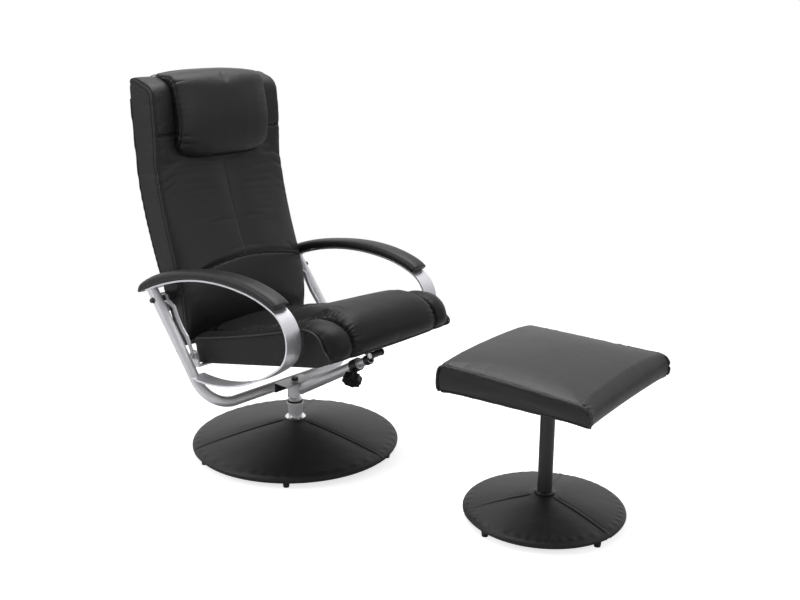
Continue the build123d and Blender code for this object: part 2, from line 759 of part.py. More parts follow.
# Seat: side outlines in the seat's own directions, forward along its sole and up from it
seat_slope = radians(seat_angle)
seat_run = Vector(0, -cos(seat_slope), sin(seat_slope))
seat_up = Vector(0, sin(seat_slope), cos(seat_slope))
seat_root = Vector(0, seat_rear, seat_rear_height)
heel_back = seat_rear - heel_inset
heel_height = seat_rear_height + heel_lift


def seat_plane(station):
    """Upright plane along the seat at a distance from the chair's middle."""
    return Plane(origin=seat_root + Vector(station, 0, 0), x_dir=seat_run, z_dir=(-1, 0, 0))


def seat_place(point):
    """A point of the chair's side view in the seat's own directions."""
    away = Vector(0, point.Y, point.Z) - seat_root
    return away.dot(seat_run), away.dot(seat_up)


def sole_plane(rise):
    """Plane parallel to the seat's sole, its y direction pointing forward."""
    return Plane(origin=seat_root + seat_up * rise, x_dir=(-1, 0, 0), z_dir=seat_up)


def seat_outline(lift_share, reach_share):
    """Side outline of the seat cushion at one station."""
    lift = seat_panel_lift * lift_share
    reach = seat_nose_reach * reach_share
    rear_top = (seat_rear_lean * lift_share, seat_rear_rise + lift)
    mid_top = (seat_crest / 2, (seat_rear_rise + seat_front_rise) / 2 + lift + seat_camber)
    crest = (seat_crest, seat_front_rise + lift)
    shoulder = (seat_crest + (seat_sole + reach - seat_crest) * shoulder_run_share,
                seat_nose_rise + (seat_front_rise + lift - seat_nose_rise) * shoulder_rise_share)
    nose = (seat_sole + reach, seat_nose_rise)
    chin = (seat_sole + reach * chin_run_share, seat_nose_rise * chin_rise_share)
    with BuildSketch() as outline:
        with BuildLine():
            Line((0, 0), rear_top)
            ThreePointArc(rear_top, mid_top, crest)
            ThreePointArc(crest, shoulder, nose)
            ThreePointArc(nose, chin, (seat_sole, 0))
            Line((seat_sole, 0), (0, 0))
        make_face()
    return outline.sketch


board_low = -board_show
board_front = seat_sole - board_front_inset
board_half_width = seat_half_width - board_inset
seat_stations = [(-x, lift, reach) for x, lift, reach in seat_station_shares]
seat_stations += [station for station in reversed(seat_station_shares) if station[0] > 0]
with BuildPart() as seat_cushion:
    for width_share, lift_share, reach_share in seat_stations:
        with BuildSketch(seat_plane(width_share * seat_half_width)):
            add(seat_outline(lift_share, reach_share))
    loft(ruled=True)
    with BuildSketch(sole_plane(board_low)):
        with Locations((0, (board_rear_inset + board_front) / 2)):
            Rectangle((board_half_width + soft_gap) * 2, board_front - board_rear_inset + soft_gap * 2)
    extrude(amount=board_wall + soft_gap, mode=Mode.SUBTRACT)
export_piece(seat_cushion.part, "seat_cushion")

# Hinge hardware under the seat: rear strap with turned-up ends, front bracket with two ears
heel_point = Vector(0, heel_back, heel_height)
heel_run, heel_rise = seat_place(heel_point)
hinge_run, hinge_drop = seat_place(hinge_point)
strap_top = board_low
strap_low = strap_top - cross_strap_wall
strap_outer = link_plane - link_wall / 2 - heel_side_gap
bracket_low = strap_top - hinge_plate_wall
bracket_rear = board_front - hinge_plate_length
strap_screws = [(side * reach, heel_run) for side in (-1, 1)
                for reach in (strap_screw_reach, strap_screw_pitch)]
bracket_screws = [(side * bracket_screw_reach, bracket_rear + hinge_plate_length * share)
                  for side in (-1, 1) for share in bracket_screw_shares]
with BuildPart() as seat_board:
    with BuildSketch(sole_plane(board_low)):
        with Locations((0, (board_rear_inset + board_front) / 2)):
            Rectangle(board_half_width * 2, board_front - board_rear_inset)
        with Locations(*strap_screws, *bracket_screws):
            Circle(screw_radius + running_gap, mode=Mode.SUBTRACT)
    extrude(amount=board_wall)
export_piece(seat_board.part, "seat_board")

with BuildPart() as seat_cross_strap:
    with BuildSketch(sole_plane(strap_low)):
        with Locations((0, heel_run)):
            Rectangle(strap_outer * 2, cross_strap_width)
        with Locations(*strap_screws):
            Circle(screw_radius + running_gap, mode=Mode.SUBTRACT)
    extrude(amount=cross_strap_wall)
    for side in (-1, 1):
        with BuildSketch(seat_plane(side * (strap_outer - cross_strap_wall / 2))):
            with Locations((heel_run, (strap_low + heel_rise) / 2)):
                Rectangle(cross_strap_width, heel_rise - strap_low)
            with Locations((heel_run, heel_rise)):
                Circle(cross_strap_width / 2)
                Circle(heel_pin_radius + running_gap, mode=Mode.SUBTRACT)
        extrude(amount=cross_strap_wall / 2, both=True)
export_piece(seat_cross_strap.part, "seat_cross_strap")

with BuildPart() as seat_front_bracket:
    with BuildSketch(sole_plane(bracket_low)):
        with Locations((0, bracket_rear + hinge_plate_length / 2)):
            Rectangle(bracket_half_width * 2, hinge_plate_length)
        with Locations(*bracket_screws):
            Circle(screw_radius + running_gap, mode=Mode.SUBTRACT)
    extrude(amount=hinge_plate_wall)
    for side in (-1, 1):
        with BuildSketch(seat_plane(side * (hinge_gap - hinge_plate_wall / 2))):
            with BuildLine():
                Polyline((bracket_rear, bracket_low + edge_break), (hinge_run - ear_radius, hinge_drop),
                         (hinge_run + ear_radius, hinge_drop), (board_front, bracket_low + edge_break),
                         (bracket_rear, bracket_low + edge_break))
            make_face()
            with Locations((hinge_run, hinge_drop)):
                Circle(ear_radius)
                Circle(hinge_bore, mode=Mode.SUBTRACT)
        extrude(amount=hinge_plate_wall / 2, both=True)
export_piece(seat_front_bracket.part, "seat_front_bracket")

with BuildPart() as seat_hinge_pin:
    with BuildSketch(Plane.YZ):
        with Locations((hinge_point.Y, hinge_point.Z)):
            Circle(hinge_pin_radius)
    extrude(amount=hinge_gap + seat_clearance, both=True)
    for side in (-1, 1):
        with BuildSketch(Plane.YZ.offset(side * (hinge_gap + seat_clearance))):
            with Locations((hinge_point.Y, hinge_point.Z)):
                Circle(hinge_head_radius)
        extrude(amount=side * hinge_head_height)
export_piece(seat_hinge_pin.part, "seat_hinge_pin")

with BuildPart() as seat_screws:
    for places, face in ((strap_screws, strap_low), (bracket_screws, bracket_low)):
        with BuildSketch(sole_plane(face - running_gap)):
            with Locations(*places):
                Circle(screw_radius)
        extrude(amount=cross_strap_wall + screw_depth)
        with BuildSketch(sole_plane(face - running_gap)):
            with Locations(*places):
                Circle(screw_head_radius)
        extrude(amount=-screw_head_height, taper=screw_taper_angle)
export_piece(seat_screws.part, "seat_screws")

# Rear pins of the seat, loose in the lower eyes of the back's links
link_outer = link_plane + link_wall / 2
for side, side_name in ((-1, "right"), (1, "left")):
    pin_root = side * (strap_outer - cross_strap_wall - heel_head_height)
    with BuildPart() as seat_rear_pin:
        with BuildSketch(Plane.YZ.offset(pin_root)):
            with Locations((heel_back, heel_height)):
                Circle(heel_pin_radius + heel_head_height)
        extrude(amount=side * (heel_head_height - seat_clearance))
        with BuildSketch(Plane.YZ.offset(pin_root)):
            with Locations((heel_back, heel_height)):
                Circle(heel_pin_radius)
        extrude(amount=link_outer * side + side * heel_side_gap - pin_root)
        with BuildSketch(Plane.YZ.offset(side * (link_outer + heel_side_gap))):
            with Locations((heel_back, heel_height)):
                Circle(heel_head_radius)
        extrude(amount=side * heel_head_height)
    export_piece(seat_rear_pin.part, f"seat_rear_pin_{side_name}")

# Back: shell and cushion, from side outlines given as shares of the back's height
back_base = (back_foot, back_foot_height)
tail_foot, tail_head = shared(back_base, back_height, back_tail_shares)
tail_run = (tail_head - tail_foot).normalized()
tail_normal = Vector(tail_run.Y, -tail_run.X)


def back_rear(forward, rise):
    """Rear line of the back from its foot to near its top, moved forward by a distance."""
    moved = [point - Vector(forward, 0) for point in shared(back_base, back_height, back_rear_shares)]
    foot = tail_foot + tail_run * rise - Vector(forward, 0)
    head = tail_head - Vector(forward, 0)
    Line(foot, head)
    ThreePointArc(head, moved[0], moved[1])
    ThreePointArc(moved[1], moved[2], moved[3])
    return foot, moved[3]


def back_outline(crown_share, draw_share):
    """Side outline of the upholstered back at one station."""
    front = shared(back_base, back_height, back_front_shares)
    draw = back_side_draw * draw_share
    front = [point - Vector(back_crown * crown_share * share - draw, 0)
             for point, share in zip(front, back_crown_shares)]
    front[3] = front[3] + Vector(back_waist_notch, back_waist_arch * crown_share)
    top = [point - Vector(0, draw) for point in shared(back_base, back_height, back_top_shares)]
    crown_start = front[7] - Vector(0, draw)
    with BuildSketch() as outline:
        with BuildLine():
            rear_foot, rear_head = back_rear(0, 0)
            ThreePointArc(rear_foot, front[0], front[1])
            ThreePointArc(front[1], front[2], front[3])
            ThreePointArc(front[3], front[4], front[5])
            ThreePointArc(front[5], front[6], crown_start)
            ThreePointArc(crown_start, top[0], top[1])
            ThreePointArc(top[1], top[2], rear_head)
        make_face()
    return outline.sketch


def shell_outline(grow):
    """Side outline of the back's shell, grown forward by a clearance."""
    with BuildSketch() as outline:
        with BuildLine():
            rear_foot, rear_head = back_rear(0, shell_foot_rise - grow)
            front_foot, front_head = back_rear(shell_wall + grow, shell_foot_rise - grow)
            Line(rear_foot, front_foot)
            Line(rear_head, front_head)
        make_face()
    return outline.sketch


tab_middle = tail_foot + tail_run * ((pivot_height - link_tab_drop - tail_foot.Y) / tail_run.Y)
tab_screws = [tab_middle + tail_run * (side * link_tab_height * tab_screw_share) for side in (-1, 1)]
back_stations = [(-x, crown, draw) for x, crown, draw in back_station_shares]
back_stations += [station for station in reversed(back_station_shares) if station[0] > 0]
with BuildPart() as back_cushion:
    for width_share, crown_share, draw_share in back_stations:
        with BuildSketch(Plane.YZ.offset(width_share * back_half_width)):
            add(back_outline(crown_share, draw_share))
    loft(ruled=True)
    with BuildSketch(Plane.YZ):
        add(shell_outline(soft_gap))
    extrude(amount=back_half_width + cut_overrun, both=True, mode=Mode.SUBTRACT)
export_piece(back_cushion.part, "back_cushion")

with BuildPart() as back_shell:
    with BuildSketch(Plane.YZ):
        add(shell_outline(0))
    extrude(amount=back_half_width - shell_inset, both=True)
    for side in (-1, 1):
        for screw_place in tab_screws:
            hole_root = Vector(side * (back_half_width - link_screw_inset), screw_place.X, screw_place.Y)
            with BuildSketch(Plane(origin=hole_root, z_dir=(0, tail_normal.X, tail_normal.Y))):
                Circle(screw_radius + running_gap)
            extrude(amount=-screw_depth - seat_clearance, mode=Mode.SUBTRACT)
export_piece(back_shell.part, "back_shell")

# Links of the back: eye on the pivot, curved arm to the seat's rear pin, tab on the shell
pivot_place = Vector(pivot_depth, pivot_height)
heel_place = Vector(heel_back, heel_height)
link_elbow, link_middle, link_knee = shared((pivot_depth, pivot_height), link_length,
                                             link_line_shares)
tab_foot = tab_middle - tail_run * (link_tab_height / 2)
tab_head = tab_middle + tail_run * (link_tab_height / 2)
link_inner = link_plane - link_wall / 2
tab_inner = back_half_width - link_tab_inset
for side, side_name in ((-1, "right"), (1, "left")):
    with BuildPart() as back_link:
        with BuildSketch(Plane.YZ.offset(side * link_plane)):
            with BuildLine():
                Line(pivot_place, link_elbow)
                ThreePointArc(link_elbow, link_middle, link_knee)
                Line(link_knee, heel_place)
            trace(line_width=link_width)
            with BuildLine():
                Polyline(pivot_place, tab_foot, tab_foot + tail_normal * link_wall,
                         tab_head + tail_normal * link_wall, tab_head, pivot_place)
            make_face()
            with Locations(pivot_place):
                Circle(link_eye_radius)
                Circle(pivot_radius + running_gap, mode=Mode.SUBTRACT)
            with Locations(heel_place):
                Circle(link_eye_radius)
                Circle(heel_pin_radius + heel_play, mode=Mode.SUBTRACT)
        extrude(amount=link_wall / 2, both=True)
        tab_root = Vector(side * (tab_inner + link_inner) / 2, tab_middle.X, tab_middle.Y)
        tab_plane = Plane(origin=tab_root, x_dir=(1, 0, 0), z_dir=(0, tail_normal.X, tail_normal.Y))
        with BuildSketch(tab_plane):
            Rectangle(link_inner - tab_inner + link_wall, link_tab_height)
        extrude(amount=link_wall)
        for screw_place in tab_screws:
            hole_root = Vector(side * (back_half_width - link_screw_inset), screw_place.X, screw_place.Y)
            with BuildSketch(Plane(origin=hole_root, z_dir=(0, tail_normal.X, tail_normal.Y))):
                Circle(screw_radius + running_gap)
            extrude(amount=link_wall + cut_overrun, both=True, mode=Mode.SUBTRACT)
    export_piece(back_link.part, f"back_link_{side_name}")

    # Pivot: bolt through the upright, spacer between upright and link, nut inside the link
    bolt_root = side * (tube_half_span + tube_radius)
    spacer_root = side * (tube_half_span - tube_radius)
    nut_face = side * (link_inner - seat_clearance)
    with BuildPart() as pivot_bolt:
        with BuildSketch(Plane.YZ.offset(bolt_root)):
            with Locations(pivot_place):
                Circle(pivot_head_radius)
        extrude(amount=side * pivot_head_height, taper=pivot_taper_angle)
        with BuildSketch(Plane.YZ.offset(bolt_root)):
            with Locations(pivot_place):
                Circle(pivot_radius)
        extrude(amount=nut_face - side * pivot_nut_height - bolt_root)
    export_piece(pivot_bolt.part, f"pivot_bolt_{side_name}")

    with BuildPart() as pivot_spacer:
        with BuildSketch(Plane.YZ.offset(spacer_root)):
            with Locations(pivot_place):
                Circle(sleeve_radius)
                Circle(pivot_radius + running_gap, mode=Mode.SUBTRACT)
        extrude(amount=side * (link_outer + seat_clearance) - spacer_root)
    export_piece(pivot_spacer.part, f"pivot_spacer_{side_name}")

    with BuildPart() as pivot_nut:
        with BuildSketch(Plane.YZ.offset(nut_face)):
            with Locations(pivot_place):
                RegularPolygon(pivot_head_radius, 6)
                Circle(pivot_radius + running_gap, mode=Mode.SUBTRACT)
        extrude(amount=-side * pivot_nut_height)
    export_piece(pivot_nut.part, f"pivot_nut_{side_name}")

with BuildPart() as back_screws:
    for side in (-1, 1):
        for screw_place in tab_screws:
            root = Vector(side * (back_half_width - link_screw_inset), screw_place.X, screw_place.Y)
            screw_plane = Plane(origin=root, z_dir=(0, tail_normal.X, tail_normal.Y))
            with BuildSketch(screw_plane.offset(link_wall + running_gap)):
                Circle(screw_radius)
            extrude(amount=-link_wall - screw_depth)
            with BuildSketch(screw_plane.offset(link_wall + running_gap)):
                Circle(screw_head_radius)
            extrude(amount=screw_head_height, taper=screw_taper_angle)
export_piece(back_screws.part, "back_screws")


def pillow_outline(draw_share):
    """Side outline of the head pillow at one station, its skin drawn in towards the ends."""
    draw = pillow_side_draw * draw_share
    skin = [Vector(back_foot + back_height * share[0] + draw * share[2],
                   back_foot_height + back_height * share[1] + draw * share[3])
            for share in pillow_skin_shares]
    with BuildSketch() as outline:
        with BuildLine():
            for arc_start in range(0, 10, 2):
                ThreePointArc(skin[arc_start], skin[arc_start + 1], skin[arc_start + 2])
            Polyline(skin[10], skin[11], skin[12], skin[0])
        make_face()
    return outline.sketch


# Head pillow, folded over the top of the back
pillow_stations = [(-x, draw) for x, draw in pillow_station_shares]
pillow_stations += [station for station in reversed(pillow_station_shares) if station[0] > 0]
with BuildPart() as back_prism:
    with BuildSketch(Plane.YZ):
        add(back_outline(0, -soft_gap / back_side_draw))
        offset(amount=soft_gap)
    extrude(amount=back_half_width, both=True)
with BuildPart() as head_pillow:
    for width_share, draw_share in pillow_stations:
        with BuildSketch(Plane.YZ.offset(width_share * pillow_half_width)):
            add(pillow_outline(draw_share))
    loft(ruled=True)
    add(back_prism.part, mode=Mode.SUBTRACT)
export_piece(head_pillow.part, "head_pillow")

# Footstool: base, post and its flanges
stool_crease = base_rim_low + stool_rim_height
stool_cover = padded_cover(stool_centre, stool_radius, stool_crease, stool_hub_radius, stool_dome_top,
                           stool_dome_bulge, stool_seam_angles)
export_piece(stool_cover, "stool_cover")

stool_plate = dished_plate(stool_centre, stool_radius, stool_crease, post_radius + seat_clearance,
                           stool_hub_radius, stool_dome_top)
export_piece(stool_plate, "stool_plate")

stool_glide_angles = [stool_glide_angle + full_turn_angle * step / stool_glide_count
                      for step in range(stool_glide_count)]
stool_glides = ring_glides(stool_centre, stool_glide_ring, stool_glide_angles)
export_piece(stool_glides, "stool_glides")

stool_board_low = stool_top - stool_cushion_height - board_show
flange_plate_low = stool_board_low - post_flange_wall
post_low = stool_dome_top - cover_wall - plate_wall - post_stub
stool_middle = Vector(stool_centre[0], stool_centre[1])
stool_turn = radians(stool_turn_angle)
stool_run = Vector(cos(stool_turn), sin(stool_turn))
stool_side = Vector(-sin(stool_turn), cos(stool_turn))


def stool_plane(height):
    """Level plane centred on the footstool's post, turned with its cushion."""
    return Plane(origin=(stool_middle.X, stool_middle.Y, height), x_dir=stool_run, z_dir=(0, 0, 1))


def stool_station(station):
    """Upright plane across the footstool at a distance from its middle."""
    return Plane(origin=stool_middle + stool_run * station, x_dir=stool_side, z_dir=stool_run)


with BuildPart() as stool_post:
    with BuildSketch(stool_plane(post_low)):
        Circle(post_radius)
        Circle(post_radius - post_wall, mode=Mode.SUBTRACT)
    extrude(amount=flange_plate_low - post_low)
export_piece(stool_post.part, "stool_post")

with BuildPart() as stool_collar:
    with BuildSketch(stool_plane(stool_dome_top + soft_gap)):
        Circle(post_collar_radius)
        Circle(post_radius + running_gap, mode=Mode.SUBTRACT)
    extrude(amount=post_collar_height)
    chamfer(stool_collar.edges().group_by(Axis.Z)[-1].sort_by(SortBy.LENGTH)[-1], post_collar_height / 2)
export_piece(stool_collar.part, "stool_collar")

with BuildPart() as stool_flange:
    with BuildSketch(stool_plane(flange_plate_low)):
        RectangleRounded(post_flange_half * 2, post_flange_half * 2, post_flange_corner)
        with GridLocations(post_screw_spread * 2, post_screw_spread * 2, 2, 2):
            Circle(screw_radius + running_gap, mode=Mode.SUBTRACT)
    extrude(amount=post_flange_wall)
export_piece(stool_flange.part, "stool_flange")

with BuildPart() as stool_board:
    with BuildSketch(stool_plane(stool_board_low)):
        Rectangle((stool_half_width - stool_board_inset) * 2, (stool_half_depth - stool_board_inset) * 2)
        with GridLocations(post_screw_spread * 2, post_screw_spread * 2, 2, 2):
            Circle(screw_radius + running_gap, mode=Mode.SUBTRACT)
    extrude(amount=board_wall)
export_piece(stool_board.part, "stool_board")

with BuildPart() as stool_screws:
    with BuildSketch(stool_plane(flange_plate_low - running_gap)):
        with GridLocations(post_screw_spread * 2, post_screw_spread * 2, 2, 2):
            Circle(screw_radius)
    extrude(amount=post_flange_wall + screw_depth)
    with BuildSketch(stool_plane(flange_plate_low - running_gap)):
        with GridLocations(post_screw_spread * 2, post_screw_spread * 2, 2, 2):
            Circle(screw_head_radius)
    extrude(amount=-screw_head_height, taper=screw_taper_angle)
export_piece(stool_screws.part, "stool_screws")


def stool_outline(crown_share, draw_share):
    """Side outline of the footstool's cushion at one station, front and rear rolled over."""
    draw = stool_side_draw * draw_share
    low = stool_top - stool_cushion_height
    top = stool_top - draw
    crown = top + stool_crown * crown_share + stool_edge_rise
    half = stool_half_depth - draw
    roll = stool_roll_radius
    bulge = roll * (1 - sqrt(roll_diagonal_share))
    front, rear = -half, half
    chin = (low + top - roll) / 2
    with BuildSketch() as outline:
        with BuildLine():
            ThreePointArc((front + roll, top), (0, crown), (rear - roll, top))
            ThreePointArc((rear - roll, top), (rear - bulge, top - bulge), (rear, top - roll))
            ThreePointArc((rear, top - roll), (rear - stool_chin_bow, chin), (rear - stool_chin_draw, low))
            Line((rear - stool_chin_draw, low), (front + stool_chin_draw, low))
            ThreePointArc((front + stool_chin_draw, low), (front + stool_chin_bow, chin), (front, top - roll))
            ThreePointArc((front, top - roll), (front + bulge, top - bulge), (front + roll, top))
        make_face()
    return outline.sketch


# Footstool cushion, crowned, boxed at its sides
stool_stations = [(-x, crown, draw) for x, crown, draw in stool_station_shares]
stool_stations += [station for station in reversed(stool_station_shares) if station[0] > 0]
with BuildPart() as stool_cushion:
    for width_share, crown_share, draw_share in stool_stations:
        with BuildSketch(stool_station(width_share * stool_half_width)):
            add(stool_outline(crown_share, draw_share))
    loft(ruled=True)
    with BuildSketch(stool_plane(stool_board_low)):
        Rectangle((stool_half_width - stool_board_inset + soft_gap) * 2,
                  (stool_half_depth - stool_board_inset + soft_gap) * 2)
    extrude(amount=board_wall + soft_gap, mode=Mode.SUBTRACT)
export_piece(stool_cushion.part, "stool_cushion")
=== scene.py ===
"""Recliner on a round swivel base, with its footstool, dressed for the camera.

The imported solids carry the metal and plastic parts. Every upholstered part is made here,
in metres, in the same frame: floor at zero, swivel axis at the origin, sitter facing -Y.
"""

import bpy
import numpy as np
from mathutils import Matrix, Vector
from mathutils.bvhtree import BVHTree


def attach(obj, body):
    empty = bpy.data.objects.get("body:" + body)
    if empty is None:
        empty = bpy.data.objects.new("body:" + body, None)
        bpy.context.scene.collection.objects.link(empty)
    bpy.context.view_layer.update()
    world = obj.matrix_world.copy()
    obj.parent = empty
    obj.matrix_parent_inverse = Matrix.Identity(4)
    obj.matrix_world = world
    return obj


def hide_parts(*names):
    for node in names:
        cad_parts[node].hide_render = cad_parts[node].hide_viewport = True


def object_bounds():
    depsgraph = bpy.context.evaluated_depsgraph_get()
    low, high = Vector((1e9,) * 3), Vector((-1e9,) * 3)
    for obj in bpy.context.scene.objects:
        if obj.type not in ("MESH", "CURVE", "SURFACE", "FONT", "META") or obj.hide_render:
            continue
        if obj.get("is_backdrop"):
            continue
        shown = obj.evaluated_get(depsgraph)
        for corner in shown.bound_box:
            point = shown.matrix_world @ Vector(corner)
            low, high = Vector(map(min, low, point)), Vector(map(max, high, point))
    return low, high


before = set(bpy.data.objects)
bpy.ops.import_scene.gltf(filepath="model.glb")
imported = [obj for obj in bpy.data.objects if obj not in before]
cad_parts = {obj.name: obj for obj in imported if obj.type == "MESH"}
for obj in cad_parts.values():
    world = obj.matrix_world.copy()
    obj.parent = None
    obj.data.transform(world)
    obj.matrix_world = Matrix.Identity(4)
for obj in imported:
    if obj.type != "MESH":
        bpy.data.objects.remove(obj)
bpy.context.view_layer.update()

# Studio: a camera at standing height off the sitter's right front, a pale floor, a broad soft
# light overhead, weaker ones from the right rear and from the front, and a pale surround.
camera_place = np.array((-1.8743, -2.0013, 1.1762))
camera_turn, camera_dip, camera_roll = np.radians((-49.092, 15.53, -0.348))
focal_pixels, photo_width = 1062.75, 800.0
sight = np.array((np.sin(camera_turn) * np.cos(camera_dip),
                  -np.cos(camera_turn) * np.cos(camera_dip), np.sin(camera_dip)))
level = np.array((np.cos(camera_turn), np.sin(camera_turn), 0.0))
crown = np.cross(sight, level)
across = level * np.cos(camera_roll) - crown * np.sin(camera_roll)
upward = level * np.sin(camera_roll) + crown * np.cos(camera_roll)
eye_axes = Matrix([list(row) + [0.0] for row in np.array((across, upward, sight)).T]
                  + [[0.0, 0.0, 0.0, 1.0]])
eye = bpy.data.cameras.new("studio_camera")
eye.sensor_width = 36.0
eye.lens = eye.sensor_width * focal_pixels / photo_width
eye.clip_start, eye.clip_end = 0.05, 60.0
camera = bpy.data.objects.new("studio_camera", eye)
bpy.context.scene.collection.objects.link(camera)
camera.matrix_world = Matrix.Translation(camera_place) @ eye_axes
bpy.context.scene.camera = camera
bpy.context.scene.view_settings.view_transform = "Standard"


class Net:
    """Shader tree of a material or world, with short calls to add and join its nodes."""

    def __init__(self, owner, empty=True):
        owner.use_nodes = True
        self.tree = owner.node_tree
        if empty:
            self.tree.nodes.clear()

    def add(self, kind, **values):
        """Node of a kind, each value given to its socket of that name or else to its setting."""
        made = self.tree.nodes.new("ShaderNode" + kind)
        for key, value in values.items():
            if key in made.inputs:
                made.inputs[key].default_value = value
            else:
                setattr(made, key, value)
        return made

    def join(self, source, out, target, into):
        """Link from a node's output to another node's input."""
        self.tree.links.new(source.outputs[out], target.inputs[into])

    def mix(self, factor, out, first, second):
        """Shader that goes from the first to the second as the factor goes from 0 to 1."""
        made = self.add("MixShader")
        for source, port, into in ((factor, out, 0), (first, 0, 1), (second, 0, 2)):
            self.join(source, port, made, into)
        return made

    def span(self, source, out, ends, low, high, **values):
        """Value mapped between 0 to 1 and a range, which is given for its From or To end."""
        made = self.add("MapRange", **{ends + " Min": low, ends + " Max": high}, **values)
        self.join(source, out, made, "Value")
        return made

    def texture(self, kind, place, out, **values):
        """Texture over a set of coordinates."""
        made = self.add("Tex" + kind, **values)
        self.join(place, out, made, "Vector")
        return made

    def dyed(self, colour, shade):
        """Colour times a shade, as output 2."""
        made = self.add("Mix", data_type="RGBA", blend_type="MULTIPLY", Factor=1.0)
        made.inputs[6].default_value = (*colour, 1.0)
        self.join(shade, 0, made, 7)
        return made

    def bump(self, height, out, depth, strength=1.0, under=None):
        """Relief of a height field, in metres, over the relief under it."""
        made = self.add("Bump", Strength=strength, Distance=depth)
        self.join(height, out, made, "Height")
        if under is not None:
            self.join(under, 0, made, "Normal")
        return made

    def surface(self, paint, polish, relief, **values):
        """Principled surface with its colour, roughness and relief, led to the output."""
        made = self.add("BsdfPrincipled", **values)
        self.join(paint, 2, made, "Base Color")
        self.join(polish, 0, made, "Roughness")
        self.join(relief, 0, made, "Normal")
        self.join(made, 0, self.add("OutputMaterial"), "Surface")


white = (1.0, 1.0, 1.0, 1.0)
surround = bpy.data.worlds.new("pale_surround")
bpy.context.scene.world = surround
net = Net(surround)
seen = net.add("LightPath")
either = net.add("Math", operation="MAXIMUM")
shown = net.add("Math", operation="MAXIMUM")
net.join(seen, "Is Camera Ray", either, 0)
net.join(seen, "Is Glossy Ray", either, 1)
net.join(either, 0, shown, 0)
net.join(seen, "Is Transmission Ray", shown, 1)
soft_sky, white_card, dim_room = (net.add("Background", Color=white, Strength=power)
                                  for power in (0.30, 1.0, 0.36))
away = net.add("VectorMath", operation="DOT_PRODUCT")
away.inputs[1].default_value = (0.60, 0.66, 0.46)
net.join(net.add("TexCoord"), "Generated", away, 0)
behind = net.span(away, "Value", "From", -0.15, 0.65, interpolation_type="SMOOTHSTEP")
walls = net.mix(behind, 0, dim_room, white_card)
mirrored = net.mix(seen, "Is Glossy Ray", white_card, walls)
net.join(net.mix(shown, 0, soft_sky, mirrored), 0, net.add("OutputWorld"), "Surface")

paper = bpy.data.materials.new("floor_paper")
net = Net(paper)
matt = net.add("BsdfDiffuse", Color=(0.86, 0.86, 0.86, 1.0))
lift = net.add("Emission", Color=white, Strength=0.74)
clear = net.add("Emission", Color=(0.0, 0.0, 0.0, 1.0), Strength=0.0)
blank = net.add("Emission", Color=white, Strength=1.0)
camera_ray = net.add("LightPath")
both = net.add("AddShader")
net.join(matt, 0, both, 0)
net.join(net.mix(camera_ray, "Is Camera Ray", clear, lift), 0, both, 1)
far = net.add("VectorMath", operation="DISTANCE")
far.inputs[1].default_value = (0.05, -0.35, 0.0)
net.join(net.add("TexCoord"), "Object", far, 0)
fade = net.span(far, "Value", "From", 0.7, 1.9, interpolation_type="SMOOTHSTEP")
distance_white = net.add("Math", operation="MULTIPLY")
net.join(fade, 0, distance_white, 0)
net.join(camera_ray, "Is Camera Ray", distance_white, 1)
net.join(net.mix(distance_white, 0, both, blank), 0, net.add("OutputMaterial"), "Surface")

floor_mesh = bpy.data.meshes.new("studio_floor")
reach = 30.0
corners = [(-reach, -reach, 0), (reach, -reach, 0), (reach, reach, 0), (-reach, reach, 0)]
floor_mesh.from_pydata(corners, [], [(0, 1, 2, 3)])
floor_mesh.materials.append(paper)
floor = bpy.data.objects.new("studio_floor", floor_mesh)
bpy.context.scene.collection.objects.link(floor)
floor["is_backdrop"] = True


def soft_box(name, place, aim, width, height, power):
    """Area lamp at a place, turned so that it looks at the aim."""
    lamp = bpy.data.lights.new(name, "AREA")
    lamp.shape, lamp.size, lamp.size_y, lamp.energy = "RECTANGLE", width, height, power
    stand = bpy.data.objects.new(name, lamp)
    bpy.context.scene.collection.objects.link(stand)
    aimed = (Vector(aim) - Vector(place)).to_track_quat("-Z", "Y").to_matrix().to_4x4()
    stand.matrix_world = Matrix.Translation(place) @ aimed


soft_box("top_light", (0.2, 0.1, 3.1), (0.0, -0.3, 0.3), 2.4, 2.4, 70.0)
soft_box("side_light", (-2.6, 1.4, 1.9), (0.0, -0.1, 0.4), 1.4, 1.8, 26.0)
soft_box("front_light", (0.6, -3.4, 1.6), (0.1, -0.3, 0.4), 1.6, 1.4, 12.0)

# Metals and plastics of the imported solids: powder and lacquer over steel, satin aluminium,
# chrome, zinc plate, moulded plastic, rubber and plywood, each with its own fine grain.


def grained(name, colour, metal, gloss, spread, grain, depth, stretch=(1.0, 1.0, 1.0),
            tint=0.06, coat=0.0):
    """Material whose roughness, shade and relief follow noise of one grain, in metres."""
    finish = bpy.data.materials.new(name)
    net = Net(finish)
    place, turn = net.add("TexCoord"), net.add("Mapping", Scale=stretch)
    net.join(place, "Object", turn, "Vector")
    fine = net.texture("Noise", turn, 0, Scale=1.0 / grain, Detail=3.0, Roughness=0.6)
    broad = net.texture("Noise", place, "Object", Scale=14.0, Detail=4.0, Roughness=0.55)
    paint = net.dyed(colour, net.span(broad, "Fac", "To", 1.0 - tint, 1.0 + tint))
    polish = net.span(fine, "Fac", "To", gloss - spread, gloss + spread)
    net.surface(paint, polish, net.bump(fine, "Fac", depth),
                **{"Metallic": metal, "Coat Weight": coat, "Coat Roughness": 0.12})
    return finish


def wear(finish, *nodes):
    """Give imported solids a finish, in each of their own slots."""
    for node in nodes:
        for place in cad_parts[node].material_slots:
            place.material = finish


